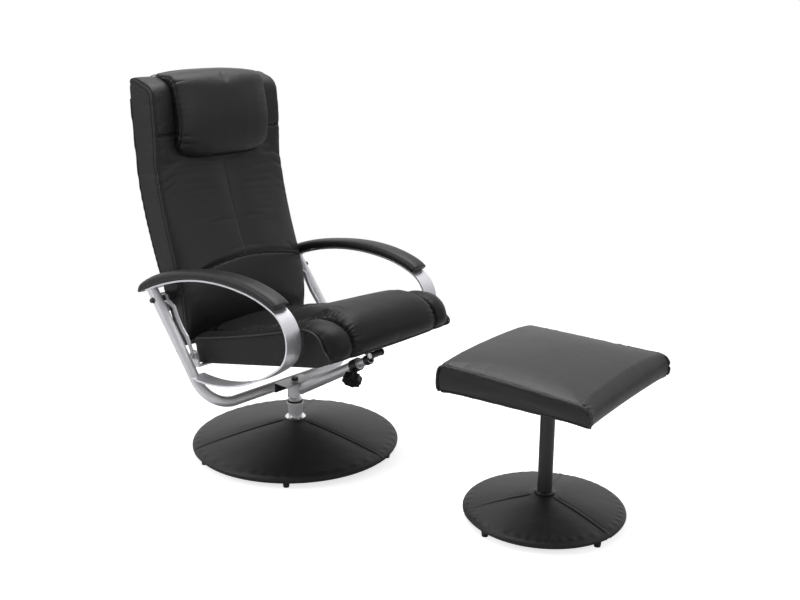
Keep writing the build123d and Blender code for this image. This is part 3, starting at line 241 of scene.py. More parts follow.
silver_steel = grained("silver_steel", (0.76, 0.76, 0.79), 0.62, 0.40, 0.03, 0.0009, 0.000012,
                       tint=0.03, coat=0.15)
column_steel = grained("column_steel", (0.82, 0.82, 0.84), 0.45, 0.34, 0.03, 0.0010, 0.000006,
                       tint=0.02, coat=0.2)
satin_band = grained("satin_aluminium", (0.79, 0.79, 0.83), 0.86, 0.36, 0.04, 0.0005, 0.000004,
                     stretch=(1.0, 0.05, 0.05), tint=0.02)
chrome = grained("chrome_plate", (0.86, 0.86, 0.88), 1.0, 0.14, 0.03, 0.004, 0.000003, tint=0.02)
zinc = grained("zinc_plate", (0.60, 0.60, 0.58), 1.0, 0.32, 0.10, 0.003, 0.00001, tint=0.12)
black_powder = grained("black_powder", (0.016, 0.016, 0.017), 0.0, 0.42, 0.06, 0.0011, 0.00003,
                       tint=0.15)
black_mould = grained("black_moulding", (0.014, 0.014, 0.015), 0.0, 0.36, 0.08, 0.0008, 0.00002,
                      tint=0.15)
rubber = grained("grey_rubber", (0.045, 0.045, 0.047), 0.0, 0.75, 0.08, 0.0015, 0.00003, tint=0.1)
plywood = grained("plywood", (0.11, 0.083, 0.062), 0.0, 0.62, 0.08, 0.0016, 0.00008,
                  stretch=(0.06, 1.0, 1.0), tint=0.25)

# The swivel channel is lacquered outside; within the box between its walls a near-black, dull surface
# is painted as the shade that falls there.
channel_steel = silver_steel.copy()
channel_steel.name = "silver_steel_channel"
net = Net(channel_steel, empty=False)
lacquer, output = (next(node for node in net.tree.nodes if node.bl_idname == "ShaderNode" + kind)
                   for kind in ("BsdfPrincipled", "OutputMaterial"))
# Painted shade: near-black and rough inside the channel's box, where little light gets in.
painted_inner_shade = net.add("BsdfPrincipled", **{"Base Color": (0.020, 0.020, 0.022, 1.0), "Roughness": 0.75,
                                    "Specular IOR Level": 0.15})
split = net.add("SeparateXYZ")
net.join(net.add("TexCoord"), "Object", split, 0)
inside = net.add("Math", operation="MULTIPLY")
for into, axis, middle, half in ((0, "Y", -0.0010, 0.0262), (1, "Z", 0.1700, 0.0178)):
    within = net.add("Math", operation="COMPARE")
    within.inputs[1].default_value, within.inputs[2].default_value = middle, half
    net.join(split, axis, within, 0)
    net.join(within, 0, inside, into)
net.join(net.mix(inside, 0, lacquer, painted_inner_shade), 0, output, "Surface")

wear(silver_steel, "side_frame_tube", "rail_tube", "back_link_right", "back_link_left",
     "swivel_spindle", "slide_tube", "seat_cross_strap")
wear(channel_steel, "swivel_channel")
wear(satin_band, "arm_band_right", "arm_band_left")
wear(column_steel, "column_tube")
wear(chrome, "column_flange")
wear(zinc, "spindle_circlip", "swivel_washer", "arm_pad_screws_right", "arm_pad_screws_left",
     "clamp_stud", "pivot_nut_right", "pivot_nut_left", "back_screws", "seat_hinge_pin",
     "seat_screws", "seat_rear_pin_right", "seat_rear_pin_left", "stool_screws")
wear(black_powder, "rail_clamp", "slide_tongue", "seat_front_bracket", "swivel_bolt",
     "base_plate", "pivot_bolt_right", "pivot_bolt_left", "stool_plate", "stool_post",
     "stool_flange")
wear(black_mould, "base_glides", "column_bearing", "clamp_knob", "slide_collar",
     "pivot_spacer_right", "pivot_spacer_left", "stool_glides", "stool_collar")
wear(rubber, "frame_stops")
wear(plywood, "seat_board", "stool_board")

# Chair base cover: black leather-look sheet over thin foam on a dished steel plate, sewn from
# three panels. The joints are felled and top-stitched, the rim is rolled over and tucked under.


def leatherette(name, gloss=0.42, shine=0.40):
    """Coated leather-look fabric: pebbled grain, finer pores and broad soft unevenness."""
    black, grain, pores = (0.0098, 0.0096, 0.0101), 0.0011, 0.00006
    finish = bpy.data.materials.new(name)
    net = Net(finish)
    place = net.add("TexCoord")
    pebble = net.texture("Voronoi", place, "Object", feature="SMOOTH_F1", Scale=1.0 / grain,
                         Smoothness=0.35)
    pore, give, drift = (net.texture("Noise", place, "Object", Scale=scale, Detail=detail,
                                     Roughness=rough)
                         for scale, detail, rough in ((2.6 / grain, 2.0, 0.6), (9.0, 5.0, 0.55),
                                                      (3.2, 2.0, 0.5)))
    worn = net.add("Math", operation="MULTIPLY_ADD")
    worn.inputs[1].default_value = 0.10
    net.join(pebble, "Distance", worn, 0)
    net.join(net.span(drift, "Fac", "To", gloss - 0.07, gloss + 0.08), 0, worn, 2)
    waves = net.bump(give, "Fac", 0.0022)
    skin = net.bump(pebble, "Distance", pores, under=waves)
    fine = net.bump(pore, "Fac", pores * 0.5, strength=0.7, under=skin)
    net.surface(net.dyed(black, net.span(give, "Fac", "To", 0.82, 1.22)), worn, fine,
                **{"Specular IOR Level": shine})
    return finish


def upholstered(name, points, faces, finish, body, stands_for=()):
    """Smooth-shaded piece from points and faces, riding on a body."""
    mesh = bpy.data.meshes.new(name)
    mesh.from_pydata(np.asarray(points, float).tolist(), [],
                     faces if isinstance(faces, list) else faces.tolist())
    mesh.validate()
    mesh.shade_smooth()
    mesh.materials.append(finish)
    piece = bpy.data.objects.new(name, mesh)
    bpy.context.scene.collection.objects.link(piece)
    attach(piece, body)
    if stands_for:
        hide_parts(*stands_for)
    return piece


def unit(vectors):
    """Rows brought to length one."""
    return vectors / np.maximum(np.linalg.norm(vectors, axis=1, keepdims=True), 1e-12)


def bell(away, width):
    """One on a line, fading off to both sides as e to the minus (distance over width) squared."""
    return np.exp(-(away / width) ** 2)


def run_along(line):
    """Length of the way along a line up to each of its places."""
    return np.concatenate(([0.0], np.cumsum(np.linalg.norm(np.diff(line, axis=0), axis=1))))


def read_off(line, run, at):
    """Places of a line, or values kept along it, at lengths of its run."""
    return np.stack([np.interp(at, run, column) for column in line.T], axis=-1)


def ring_faces(rings, around, closed_run=False):
    """Quads of a grid of closed rings: each ring joins the next, and each ring joins itself."""
    run = np.arange(rings if closed_run else rings - 1)[:, None]
    step = np.arange(around)[None, :]
    after, beside = (run + 1) % rings, (step + 1) % around
    return np.stack([run * around + step, run * around + beside,
                     after * around + beside, after * around + step], axis=-1).reshape(-1, 4)


def three_point(first, middle, last, count):
    """Parabola through three places, at even shares from the first up to short of the last."""
    share = np.linspace(0.0, 1.0, count, endpoint=False)[:, None]
    return (first * (1 - share) * (1 - 2 * share) + middle * (4 * share * (1 - share))
            + last * (share * (2 * share - 1)))


def cover_section(radius, crease, hub, top, bulge):
    """Half section of a base cover as radius and height: hub, dome, rolled rim, turned-in hem."""
    inner, outer = np.array((hub, top)), np.array((radius - 0.0135, crease + 0.0012))
    crest = np.array(((hub + radius - 0.014) / 2, (top + crease) / 2 + bulge))
    dome = three_point(inner, crest, outer, 46)
    roll = three_point(outer, np.array((radius + 0.0004, (crease + 0.012) / 2 + 0.002)),
                       np.array((radius - 0.0055, 0.0122)), 16)
    hem = np.array(((radius - 0.010, 0.0118), (radius - 0.018, 0.0122),
                    (radius - 0.026, 0.0124), (radius - 0.026, 0.0170),
                    (radius - 0.012, 0.0185), (radius - 0.012, crease - 0.006)))
    inside = three_point(np.array((radius - 0.018, crease - 0.0045)), crest - (0.0, 0.005),
                         np.array((hub + 0.0005, top - 0.0052)), 14)
    return np.concatenate((dome, roll, hem, inside))


def covered_base(name, centre, size, joints, body):
    """Base cover of a revolved section and its stitches.

    Along each joint the cover is raised as a folded strip, with a row of stitches on each side.
    """
    radius, crease, hub, top, bulge = size
    section = cover_section(*size)
    around, shown = 720, 60
    turn = np.linspace(0.0, 2 * np.pi, around, endpoint=False)[:, None]
    out, height = section[None, :, 0], section[None, :, 1]
    lift = np.zeros((around, len(section)))
    outside = (np.arange(len(section)) < shown)[None, :]
    for joint in np.radians(joints):
        aside = np.sin(turn - joint) * out
        ahead = np.cos(turn - joint) > 0
        fold = 0.0017 / (1 + np.exp((np.abs(aside) - 0.0052) / 0.0007))
        trench = -0.0011 * bell(aside - 0.0072, 0.0013) - 0.0008 * bell(aside + 0.0072, 0.0013)
        pull = -0.0016 * bell(aside, 0.030)
        fade = np.clip((out - hub - 0.004) / 0.02, 0, 1)
        lift += np.where(ahead & outside, (fold + trench + pull) * fade, 0.0)
    way_out = np.clip((out - hub) / (radius - hub), 0, 1)
    sag = 0.0011 * np.sin(3 * turn + 0.6) * np.sin(np.pi * way_out)
    ripple = np.sin(46 * turn + 2.0 * np.sin(5 * turn))
    pucker = 0.0006 * ripple * bell(out - radius + 0.012, 0.007)
    height = height + np.where(outside, lift + sag + pucker, 0.0)
    grid = np.stack((centre[0] + out * np.cos(turn), centre[1] + out * np.sin(turn), height),
                    axis=-1)
    faces = ring_faces(around, len(section), True)[:, ::-1]
    cover = upholstered(name + "_skin", grid.reshape(-1, 3), faces, base_leather, body, (name,))

    rows, dome = [], section[:47]
    out = np.linspace(hub + 0.014, radius - 0.016, 90)
    height = np.interp(out, dome[:, 0], dome[:, 1]) + 0.0006
    for joint in np.radians(joints):
        for aside in (-0.0035, 0.0035):
            line = np.stack((centre[0] + out * np.cos(joint) - aside * np.sin(joint),
                             centre[1] + out * np.sin(joint) + aside * np.cos(joint),
                             height), axis=-1)
            up = np.broadcast_to(np.array((0.0, 0.0, 1.0)), line.shape)
            rows.append(thread_stitches(line, up, 0.0042, 0.0030, 0.0007))
    sewn(name + "_stitches", rows, body)


def cord_along(line, radius, sides=10):
    """Round cord along an open line: circles square to it, closed at both ends by a fan."""
    ahead = unit(np.gradient(line, axis=0))
    steep = np.abs(ahead[:, 2:3]) >= 0.9
    guide = np.where(steep, np.array((0.0, 1.0, 0.0)), np.array((0.0, 0.0, 1.0)))
    side = unit(np.cross(ahead, guide))
    turns = np.sign(np.sum(side[1:] * side[:-1], axis=1) + 1e-9)
    side *= np.cumprod(np.concatenate(([1.0], turns)))[:, None]
    lift = np.cross(side, ahead)
    angle = np.linspace(0.0, 2 * np.pi, sides, endpoint=False)[:, None]
    circle = np.cos(angle) * side[:, None] + np.sin(angle) * lift[:, None]
    return capped(line[:, None] + radius * circle)


def capped(rings):
    """Points and faces of a run of rings, closed at each end by a fan to the ring's middle."""
    count, around = rings.shape[:2]
    hubs = [rings[k].mean(axis=0)[None] for k in (0, -1)]
    step = np.arange(around)
    beside = (step + 1) % around
    first = np.stack((np.full(around, count * around), beside, step), axis=-1)
    base = (count - 1) * around
    last = np.stack((np.full(around, count * around + 1), base + step, base + beside), axis=-1)
    return (np.concatenate([rings.reshape(-1, 3)] + hubs),
            ring_faces(count, around).tolist() + first.tolist() + last.tolist())


def outward(points, faces):
    """Faces turned so that the closed shape's signed volume is positive."""
    corners = [face[:3] for face in faces]
    a, b, c = (points[[corner[k] for corner in corners]] for k in range(3))
    weight = np.array([1.0 if len(face) == 3 else 2.0 for face in faces])
    middle = points.mean(axis=0)
    volume = np.sum(weight * np.einsum("ij,ij->i", a - middle, np.cross(b - middle, c - middle)))
    return faces if volume > 0 else [list(face)[::-1] for face in faces]


def thread_stitches(line, normal, pitch, length, width):
    """Flattened stitches laid along a line: five rings of six points and two ends for each."""
    rings_each, around = 5, 6
    run = run_along(line)
    at = np.arange(pitch, run[-1] - pitch, pitch)
    middle = read_off(line, run, at)
    ahead = unit(read_off(line, run, at + 0.001) - middle)
    side = unit(np.cross(ahead, read_off(normal, run, at)))
    lift = np.cross(side, ahead)
    along = (np.array((-0.5, -0.36, 0.0, 0.36, 0.5)) * length)[:, None, None]
    swell = (np.array((0.25, 0.8, 1.0, 0.8, 0.25)) * width / 2)[:, None, None]
    angle = np.linspace(0.0, 2 * np.pi, around, endpoint=False)[:, None]
    middle, ahead, side, lift = (rows[:, None, None] for rows in (middle, ahead, side, lift))
    rings = middle + along * ahead + swell * np.cos(angle) * side + swell * np.sin(angle) * lift
    start = (np.arange(len(at)) * rings_each * around)[:, None]
    quads = (ring_faces(rings_each, around)[None] + start[..., None]).reshape(-1, 4)
    first, last = start + np.arange(around)[::-1], start + (rings_each - 1) * around + np.arange(around)
    return rings.reshape(-1, 3), quads.tolist() + first.tolist() + last.tolist()


def sewn(name, rows, body, finish=None):
    """One piece from several rows of stitches or cords."""
    starts = np.cumsum([0] + [len(points) for points, faces in rows]).tolist()
    faces = [[corner + start for corner in face]
             for (points, row), start in zip(rows, starts) for face in row]
    points = np.concatenate([points for points, row in rows])
    upholstered(name, points, faces, finish or thread, body)


base_leather = leatherette("base_leather")
thread = grained("seam_thread", (0.017, 0.017, 0.018), 0.0, 0.55, 0.05, 0.0006, 0.00004)
# Painted shade: a near-black, dull cord laid along a seam stands for the shade down in its groove.
seam_shade = grained("seam_shade", (0.0016, 0.0016, 0.0017), 0.0, 0.85, 0.05, 0.0010, 0.00003)
covered_base("base_cover", (0.0, 0.0), (0.280, 0.033, 0.023, 0.084, 0.004),
             (151.0, 35.0, -79.0), "base")

# Seat cushion: moulded foam on a plywood board, in a sewn cover. A plump middle panel is
# gathered into a deep seam on each side, low bolsters run outside it, and boxed side panels are
# piped along their top edge and round the front.
seat_root, seat_slope = np.array((0.0, 0.135, 0.263)), np.radians(11.2)
seat_half, seam_share = 0.222, 0.685
seat_axes = np.array(((1.0, 0.0, 0.0), (0.0, -np.cos(seat_slope), np.sin(seat_slope)),
                      (0.0, np.sin(seat_slope), np.cos(seat_slope))))
seat_shares = np.array(((0.0, 1.0, 1.0), (0.2, 1.0, 1.0), (0.45, 0.95, 0.98), (0.57, 0.84, 0.94),
                        (0.635, 0.60, 0.86), (0.665, 0.34, 0.79), (seam_share, 0.20, 0.76),
                        (0.70, 0.27, 0.79), (0.735, 0.42, 0.85), (0.80, 0.49, 0.88),
                        (0.86, 0.45, 0.84), (0.93, 0.34, 0.70), (0.975, 0.20, 0.48),
                        (1.0, 0.0, 0.20)))


def seat_spot(across, run, rise):
    """Places from the distance across the chair, forward along the sole and up from it."""
    return seat_root + np.stack(np.broadcast_arrays(across, run, rise), axis=-1) @ seat_axes


def seat_loop(share):
    """Side outlines at shares of the half width: rear, top, crest, nose, chin and sole."""
    share = np.abs(np.atleast_1d(share))
    lift = np.interp(share, seat_shares[:, 0], seat_shares[:, 1]) * 0.038
    reach = np.interp(share, seat_shares[:, 0], seat_shares[:, 2]) * 0.053

    def spot(run, rise):
        return np.stack(np.broadcast_arrays(run, rise + 0.0 * lift), axis=-1)[:, None, :]

    point = np.interp(share, (0.0, 1.0), (0.047, 0.042))
    flare = np.maximum(reach * 0.80, 0.034 * np.clip((share - 0.90) / 0.08, 0.0, 1.0))
    rear_foot, rear_top = spot(0.0 * lift, 0.0), spot(0.05 * lift, 0.069 + lift * 0.64)
    crest, nose = spot(0.426 + 0.0 * lift, 0.095 + lift), spot(0.479 + reach, point)
    shoulder = spot(0.426 + (0.053 + reach) * 0.74, point + (0.095 - point + lift) * 0.72)
    middle = spot(0.213 + 0.0 * lift, 0.077 + lift * 0.54)
    chin, sole = spot(0.468 + flare, 0.012), spot(0.438 + 0.0 * lift, 0.0)
    rest = np.linspace(0.0, 1.0, 60, endpoint=False)[:, None]
    rise = np.linspace(0.0, 1.0, 12, endpoint=False)[:, None]
    return np.concatenate((rear_foot + (rear_top - rear_foot) * rise,
                           three_point(rear_top, middle, crest, 60),
                           three_point(crest, shoulder, nose, 28),
                           three_point(nose, chin, sole, 14),
                           sole + (rear_foot - sole) * rest), axis=1)


def even_skin(points, faces, voxel):
    """Object with an even mesh over a closed shape, from a voxel remesh."""
    mesh = bpy.data.meshes.new("pattern")
    mesh.from_pydata(points.tolist(), [], outward(points, faces))
    form = bpy.data.objects.new("pattern", mesh)
    bpy.context.scene.collection.objects.link(form)
    remesh = form.modifiers.new("even", "REMESH")
    remesh.mode, remesh.voxel_size = "VOXEL", voxel
    return settled(form)


def settled(form):
    """The same object, with its modifiers applied to its mesh."""
    graph = bpy.context.evaluated_depsgraph_get()
    done = bpy.data.meshes.new_from_object(form.evaluated_get(graph))
    form.modifiers.clear()
    form.data = done
    return form


def coordinates(mesh, kind="co"):
    """Vertex places or normals of a mesh as one array."""
    values = np.empty(len(mesh.vertices) * 3)
    mesh.vertices.foreach_get(kind, values)
    return values.reshape(-1, 3)


def off_line(points, line):
    """Distance of each point from a line, with the run along the line of its nearest place."""
    away, at = np.full(len(points), 9.0), np.zeros(len(points))
    beside = (points > line.min(axis=0) - 0.09) & (points < line.max(axis=0) + 0.09)
    near = np.all(beside, axis=1)
    found = [np.linalg.norm(part[:, None] - line, axis=2)
             for part in np.array_split(points[near], max(1, near.sum() // 4000))]
    away[near] = np.concatenate([gap.min(axis=1) for gap in found])
    at[near] = run_along(line)[np.concatenate([gap.argmin(axis=1) for gap in found])]
    return away, at


def sewn_down(points, hold, seams):
    """Hold raised to each seam's grip on its line, fading off over the width given with it."""
    for line, grip, width in seams:
        hold = np.maximum(hold, grip * bell(off_line(points, line)[0], width))
    return hold


def plumped(rings, voxel, cap, held, shrink=0.003, frames=20, stiff=1.2):
    """Cushion swelled as cloth under inner pressure, each point's move capped, then refined.

    held gives each point's hold from 0, free, to 1, sewn down. The new places and normals are
    given back with the form.
    """
    form = even_skin(*capped(rings), voxel)
    start = coordinates(form.data)
    inside = start - coordinates(form.data, "normal") * shrink
    form.data.vertices.foreach_set("co", inside.ravel())
    grip = form.vertex_groups.new(name="held")
    hold = held(start)
    for level in (0.25, 0.5, 0.75, 1.0):
        grip.add(np.flatnonzero(hold > level - 0.125).tolist(), level, "REPLACE")
    blow = form.modifiers.new("blow", "CLOTH")
    for setting, value in (("quality", 5), ("mass", 0.3), ("tension_stiffness", 18.0),
                           ("compression_stiffness", 18.0), ("shear_stiffness", 8.0),
                           ("bending_stiffness", stiff), ("use_pressure", True),
                           ("uniform_pressure_force", 4.0), ("vertex_group_mass", "held")):
        setattr(blow.settings, setting, value)
    blow.settings.effector_weights.gravity = 0.0
    blow.collision_settings.use_collision = False
    for frame_number in range(1, frames + 1):
        bpy.context.scene.frame_set(frame_number)
    graph = bpy.context.evaluated_depsgraph_get()
    blown = coordinates(form.evaluated_get(graph).data)
    move = blown - inside
    length = np.linalg.norm(move, axis=1, keepdims=True)
    blown = inside + move * np.minimum(1.0, cap / np.maximum(length, 1e-9))
    form.modifiers.clear()
    form.data.vertices.foreach_set("co", blown.ravel())
    bpy.context.scene.frame_set(1)
    refine = form.modifiers.new("refine", "SUBSURF")
    refine.levels = refine.render_levels = 1
    settled(form)
    return form, coordinates(form.data), coordinates(form.data, "normal")


def finished(form, node, points, finish, body, fill, *also):
    """Cushion with its final points, dressed, standing for its node and any others.

    The search tree over its faces is given back, to lay seams and cords on it.
    """
    mesh = form.data
    form.name = mesh.name = node + "_skin"
    mesh.vertices.foreach_set("co", points.ravel())
    mesh.update()
    mesh.shade_smooth()
    mesh.materials.clear()
    mesh.materials.append(finish)
    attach(form, body)
    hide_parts(node, *also)
    faces = [tuple(face.vertices) for face in mesh.polygons]
    return BVHTree.FromPolygons(coordinates(mesh).tolist(), faces)


def smoothed(values, weights):
    """Rows averaged in place with their neighbours under the weights; the ends stay."""
    edge = len(weights) // 2
    for axis in range(3):
        values[edge:-edge, axis] = np.convolve(values[:, axis], weights, mode="valid")


def laid_on(tree, line, lift):
    """Line brought to the nearest places of a surface and lifted off it, and its normals."""
    found = [tree.find_nearest(Vector(place)) for place in line]
    spots, facing = (np.array([tuple(hit[k]) for hit in found]) for k in (0, 1))
    for values in (spots, facing):
        smoothed(values, np.array((1.0, 2.0, 3.0, 2.0, 1.0)) / 9.0)
    facing = unit(facing)
    return spots + facing * lift, facing


def evened(line, step=0.002):
    """Line with places at an even step along it."""
    run = run_along(line)
    return read_off(line, run, np.linspace(0.0, run[-1], max(4, int(run[-1] / step))))


def puffs(run, pitch, seed):
    """Gathered folds along a seam: round puffs between sharp creases, the pitch drifting."""
    chance = np.random.default_rng(seed)
    shift = sum(chance.uniform(0.4, 1.3)
                * np.sin(run * 2 * np.pi / (pitch * ratio) + chance.uniform(0, 6.3))
                for ratio in (3.7, 6.1, 11.3))
    return 1.0 - 1.6 * (1.0 - np.abs(np.sin(np.pi * run / pitch + shift))) ** 2


seat_leather = leatherette("seat_leather", shine=0.24)
seat_across = np.sin(np.linspace(-np.pi / 2, np.pi / 2, 111))
seat_loops = seat_loop(seat_across)
seat_grid = seat_spot(seat_across[:, None] * seat_half, seat_loops[..., 0], seat_loops[..., 1])
valley = [evened(seat_spot(side * seam_share * seat_half, *seat_loop(seam_share)[0, 10:113].T))
          for side in (-1, 1)]
edge = [evened(seat_spot(side * 0.2215, *seat_loop(1.0)[0, 12:113].T)) for side in (-1, 1)]


def seat_hold(points):
    """Sewn or glued down: the sole, the gathered seams and the piped edges."""
    rise = ((points - seat_root) @ seat_axes.T)[:, 2]
    seams = [(line, 1.0, 0.006) for line in valley] + [(line, 0.9, 0.005) for line in edge]
    return sewn_down(points, np.where(rise < 0.006, 1.0, 0.0), seams)


seat_form, points, normals = plumped(seat_grid, 0.005, 0.014, seat_hold)
across = points[:, 0].copy()
for side, line, seed in zip((-1, 1), valley, (11, 12)):
    away, at = off_line(points, line)
    inner = side * across < seam_share * seat_half
    firm = np.clip((at - 0.05) / 0.12, 0.25, 1.0)
    reach_in = 0.013 + 0.012 * (0.5 + 0.5 * np.sin(at * 61.0 + seed)) + 0.004 * np.sin(at * 173.0)
    folds = puffs(at, 0.0125, seed) * bell(away, reach_in) * np.clip(away / 0.004, 0.15, 1)
    ease = puffs(at, 0.034, seed + 5) * bell(away, 0.020)
    points += normals * np.where(inner, 0.0032 * folds * firm, 0.0008 * ease * firm)[:, None]
    points -= normals * (0.0115 * bell(away, 0.0042))[:, None]
for side, line in zip((-1, 1), edge):
    away, at = off_line(points, line)
    points -= normals * (0.0016 * bell(away, 0.0032))[:, None]
    forward = np.clip((at - 0.30) / 0.12, 0.12, 1)
    pulls = puffs(at, 0.052, 31 + side) * bell(away, 0.026) * forward
    points += normals * np.where(side * across < 0.2205, 0.0010 * pulls, 0.0)[:, None]
clear_of_frame = 0.2245
points[:, 0] = np.clip(points[:, 0], -clear_of_frame, clear_of_frame)
seat_tree = finished(seat_form, "seat_cushion", points, seat_leather, "seat", 0.75)

# The piping runs up one side of the seat, under the nose and down the other side.
under_nose = 107
front_across = np.linspace(-0.216, 0.216, 200)
front_loop = seat_loop(front_across / seat_half)[:, under_nose]
front_low = seat_spot(front_across, front_loop[:, 0], front_loop[:, 1])
front_low = laid_on(seat_tree, front_low, 0.0008)[0]
side_pipe = [seat_spot(side * 0.2222, *seat_loop(1.0)[0, 14:under_nose].T) for side in (-1, 1)]
piping = evened(np.concatenate((side_pipe[0], front_low, side_pipe[1][::-1])), 0.003)
smoothed(piping, np.full(7, 1.0 / 7.0))
sewn("seat_piping", [cord_along(piping, 0.0025)], "seat")
# Each gather seam gets a near-black cord of painted shade in its groove, and a row of stitches along
# it.
for line, number in zip(valley, (1, 2)):
    inward = unit(np.cross((1.0, 0.0, 0.0), np.gradient(line, axis=0)))
    row, facing = laid_on(seat_tree, (line + inward * 0.0085)[6:-4], 0.0006)
    sewn("seat_gather_seam_shade_%d" % number, [cord_along(row, 0.0016, 8)], "seat", seam_shade)
    stitches = thread_stitches(row + facing * 0.0012, facing, 0.0050, 0.0034, 0.0009)
    sewn("seat_gather_stitches_%d" % number, [stitches], "seat")

# Back: one long cushion on a curved plywood shell, in a sewn cover that wraps the shell too.
# Boxed sides meet the front in a narrow strip between two seams. The front panel has a middle
# seam, an arched seam at the waist and a short one at each shoulder.
back_foot = np.array((0.184, 0.290))
back_tall = 0.706
back_half = 0.2170
front_shares = np.array(((0.0170, 0.0057), (0.0, 0.0326), (0.0057, 0.1558), (0.0425, 0.3017),
                         (0.0949, 0.4958), (0.1204, 0.6827), (0.1331, 0.8215), (0.1402, 0.9310)))
front_swell = np.array((0.2, 0.6, 1.05, 1.2, 0.85, 0.1, 0.0, 0.0))
fuller = np.array((0.0, 0.008, 0.017, 0.022, 0.015, 0.006, 0.016, 0.016))
hollow = np.array((0.0, 0.0, 0.0, 0.0, -0.003, -0.005, 0.0, 0.0))
head_shares = np.array(((0.1430, 0.9690), (0.1841, 0.9880), (0.2545, 0.9940)))
rear_shares = np.array(((0.0368, 0.0014), (0.0920, 0.1410), (0.1473, 0.2805), (0.2025, 0.4419),
                        (0.2422, 0.6006), (0.2578, 0.7790), (0.2691, 0.9419)))
back_shares = np.array(((0.0, 0.96, 0.0), (0.03, 1.0, 0.0), (0.3, 0.97, 0.0), (0.5, 0.88, 0.0),
                        (0.75, 0.60, 0.0), (0.88, 0.32, 0.03), (0.925, 0.18, 0.12),
                        (0.955, 0.12, 0.16), (0.985, 0.05, 0.45), (1.0, 0.0, 1.0)))


def through(stops, counts):
    """Parabolas through three stops at a time, each from the last stop of the one before."""
    return [three_point(*(stops[:, 2 * k + j][:, None, :] for j in range(3)), count)
            for k, count in enumerate(counts)]


def back_loop(share):
    """Side outlines of the back at shares of its half width: foot, front, head and rear."""
    share = np.abs(np.atleast_1d(share))
    swell = np.interp(share, back_shares[:, 0], back_shares[:, 1])[:, None]
    draw = np.interp(share, back_shares[:, 0], back_shares[:, 2])[:, None] * 0.007
    front = (back_foot + back_tall * front_shares)[None] + 0.0 * swell[..., None]
    front[..., 0] -= (0.024 * swell * front_swell - draw + fuller * (1.0 - 0.5 * swell)
                      + hollow * swell)
    front[:, 3, 0] += 0.003
    front[:, 3, 1] += 0.014 * swell[:, 0]
    front[:, 7, 1] -= draw[:, 0]
    head = (back_foot + back_tall * head_shares)[None] + 0.0 * swell[..., None]
    head[:, :2, 1] -= draw
    rear = (back_foot + back_tall * rear_shares)[None] + 0.0 * swell[..., None]
    rear[..., 0] += 0.0028
    stops = np.concatenate((rear[:, :1], front, head, rear[:, ::-1]), axis=1)
    return np.concatenate(through(stops, (10, 40, 36, 36, 14, 18, 40, 40, 40)), axis=1)


def back_spot(across, loop):
    """Places in the chair from the distance across it and the outline's depth and height."""
    return np.stack(np.broadcast_arrays(across, loop[..., 0], loop[..., 1]), axis=-1)


def back_face(across, height):
    """Line on the front of the back, from the distance across and the height of each place."""
    loops = back_loop(np.asarray(across) / back_half)[:, 10:126]
    depth = np.array([np.interp(z, loop[:, 1], loop[:, 0]) for z, loop in zip(height, loops)])
    return np.stack((across, depth, height), axis=-1)


back_leather = leatherette("back_leather", gloss=0.40)
back_across = np.sin(np.linspace(-np.pi / 2, np.pi / 2, 101))
back_grid = back_spot(back_across[:, None] * back_half, back_loop(back_across))
side_loop = back_loop(1.0)[0]
slant = unit(np.gradient(side_loop[12:152], axis=0))
slant = np.stack((slant[:, 1], -slant[:, 0]), axis=-1)
front_edge, box_edge = ([evened(back_spot(side * back_half, side_loop[12:152] + slant * inset))
                         for side in (-1, 1)] for inset in (0.0035, 0.0160))
rear_edge = [evened(back_spot(side * (back_half - 0.0005), side_loop[156:])) for side in (-1, 1)]
waist_half = 0.2150
waist_across = np.linspace(-waist_half, waist_half, 120)
waist = evened(back_face(waist_across, 0.514 - 0.034 * np.abs(waist_across / waist_half) ** 1.75))
spine_height = np.linspace(0.518, 0.860, 120)
spine = evened(back_face(0.0 * spine_height, spine_height))
shoulder_across = np.linspace(0.120, 0.2165, 40)
shoulders = [evened(back_face(side * shoulder_across, 0.846 + 0.0 * shoulder_across))
             for side in (-1, 1)]


def back_hold(points):
    """Stapled or sewn down: the rear, under the pillow, the boxed edges and the front's seams."""
    rear_line = side_loop[156:]
    across, height = np.abs(points[:, 0]), points[:, 2]
    depth = np.interp(height, rear_line[::-1, 1], rear_line[::-1, 0])
    hold = np.where(points[:, 1] > depth - 0.010, 0.9, 0.0)
    hold = np.maximum(hold, np.where(across > 0.2155, 0.35, 0.0))
    hold = np.maximum(hold, np.where((height > 0.800) & (across < 0.150), 0.8, 0.0))
    groups = ((front_edge, 0.85, 0.006), (box_edge, 0.8, 0.004), ([waist], 0.9, 0.005),
              ([spine], 0.55, 0.004), (shoulders, 0.7, 0.004))
    return sewn_down(points, hold, [(line, *rest) for lines, *rest in groups for line in lines])


back_form, points, normals = plumped(back_grid, 0.006, 0.012, back_hold, frames=15)
for lines, depth, width in (([waist], 0.0052, 0.0042), ([spine], 0.0020, 0.0032),
                            (shoulders, 0.0062, 0.0042), (front_edge, 0.0036, 0.0036),
                            (box_edge, 0.0018, 0.0026), (rear_edge, 0.0012, 0.0034)):
    for line in lines:
        points -= normals * (depth * bell(off_line(points, line)[0], width))[:, None]
for side, line in zip((-1, 1), front_edge):
    away, at = off_line(points, line)
    front = (side * points[:, 0] < 0.2180) & (points[:, 1] < 0.33)
    high = (bell(points[:, 2] - 0.745, 0.075) + 0.55 * bell(points[:, 2] - 0.905, 0.045)
            + 0.35 * bell(points[:, 2] - 0.46, 0.07))
    tucks = puffs(points[:, 2] + side * points[:, 0] * 0.5, 0.031, 51 + side)
    points += normals * (0.0011 * tucks * high * bell(away - 0.016, 0.030) * front)[:, None]
back_widest = 0.2195
points[:, 0] = np.clip(points[:, 0], -back_widest, back_widest)
back_tree = finished(back_form, "back_cushion", points, back_leather, "back", 0.7, "back_shell")
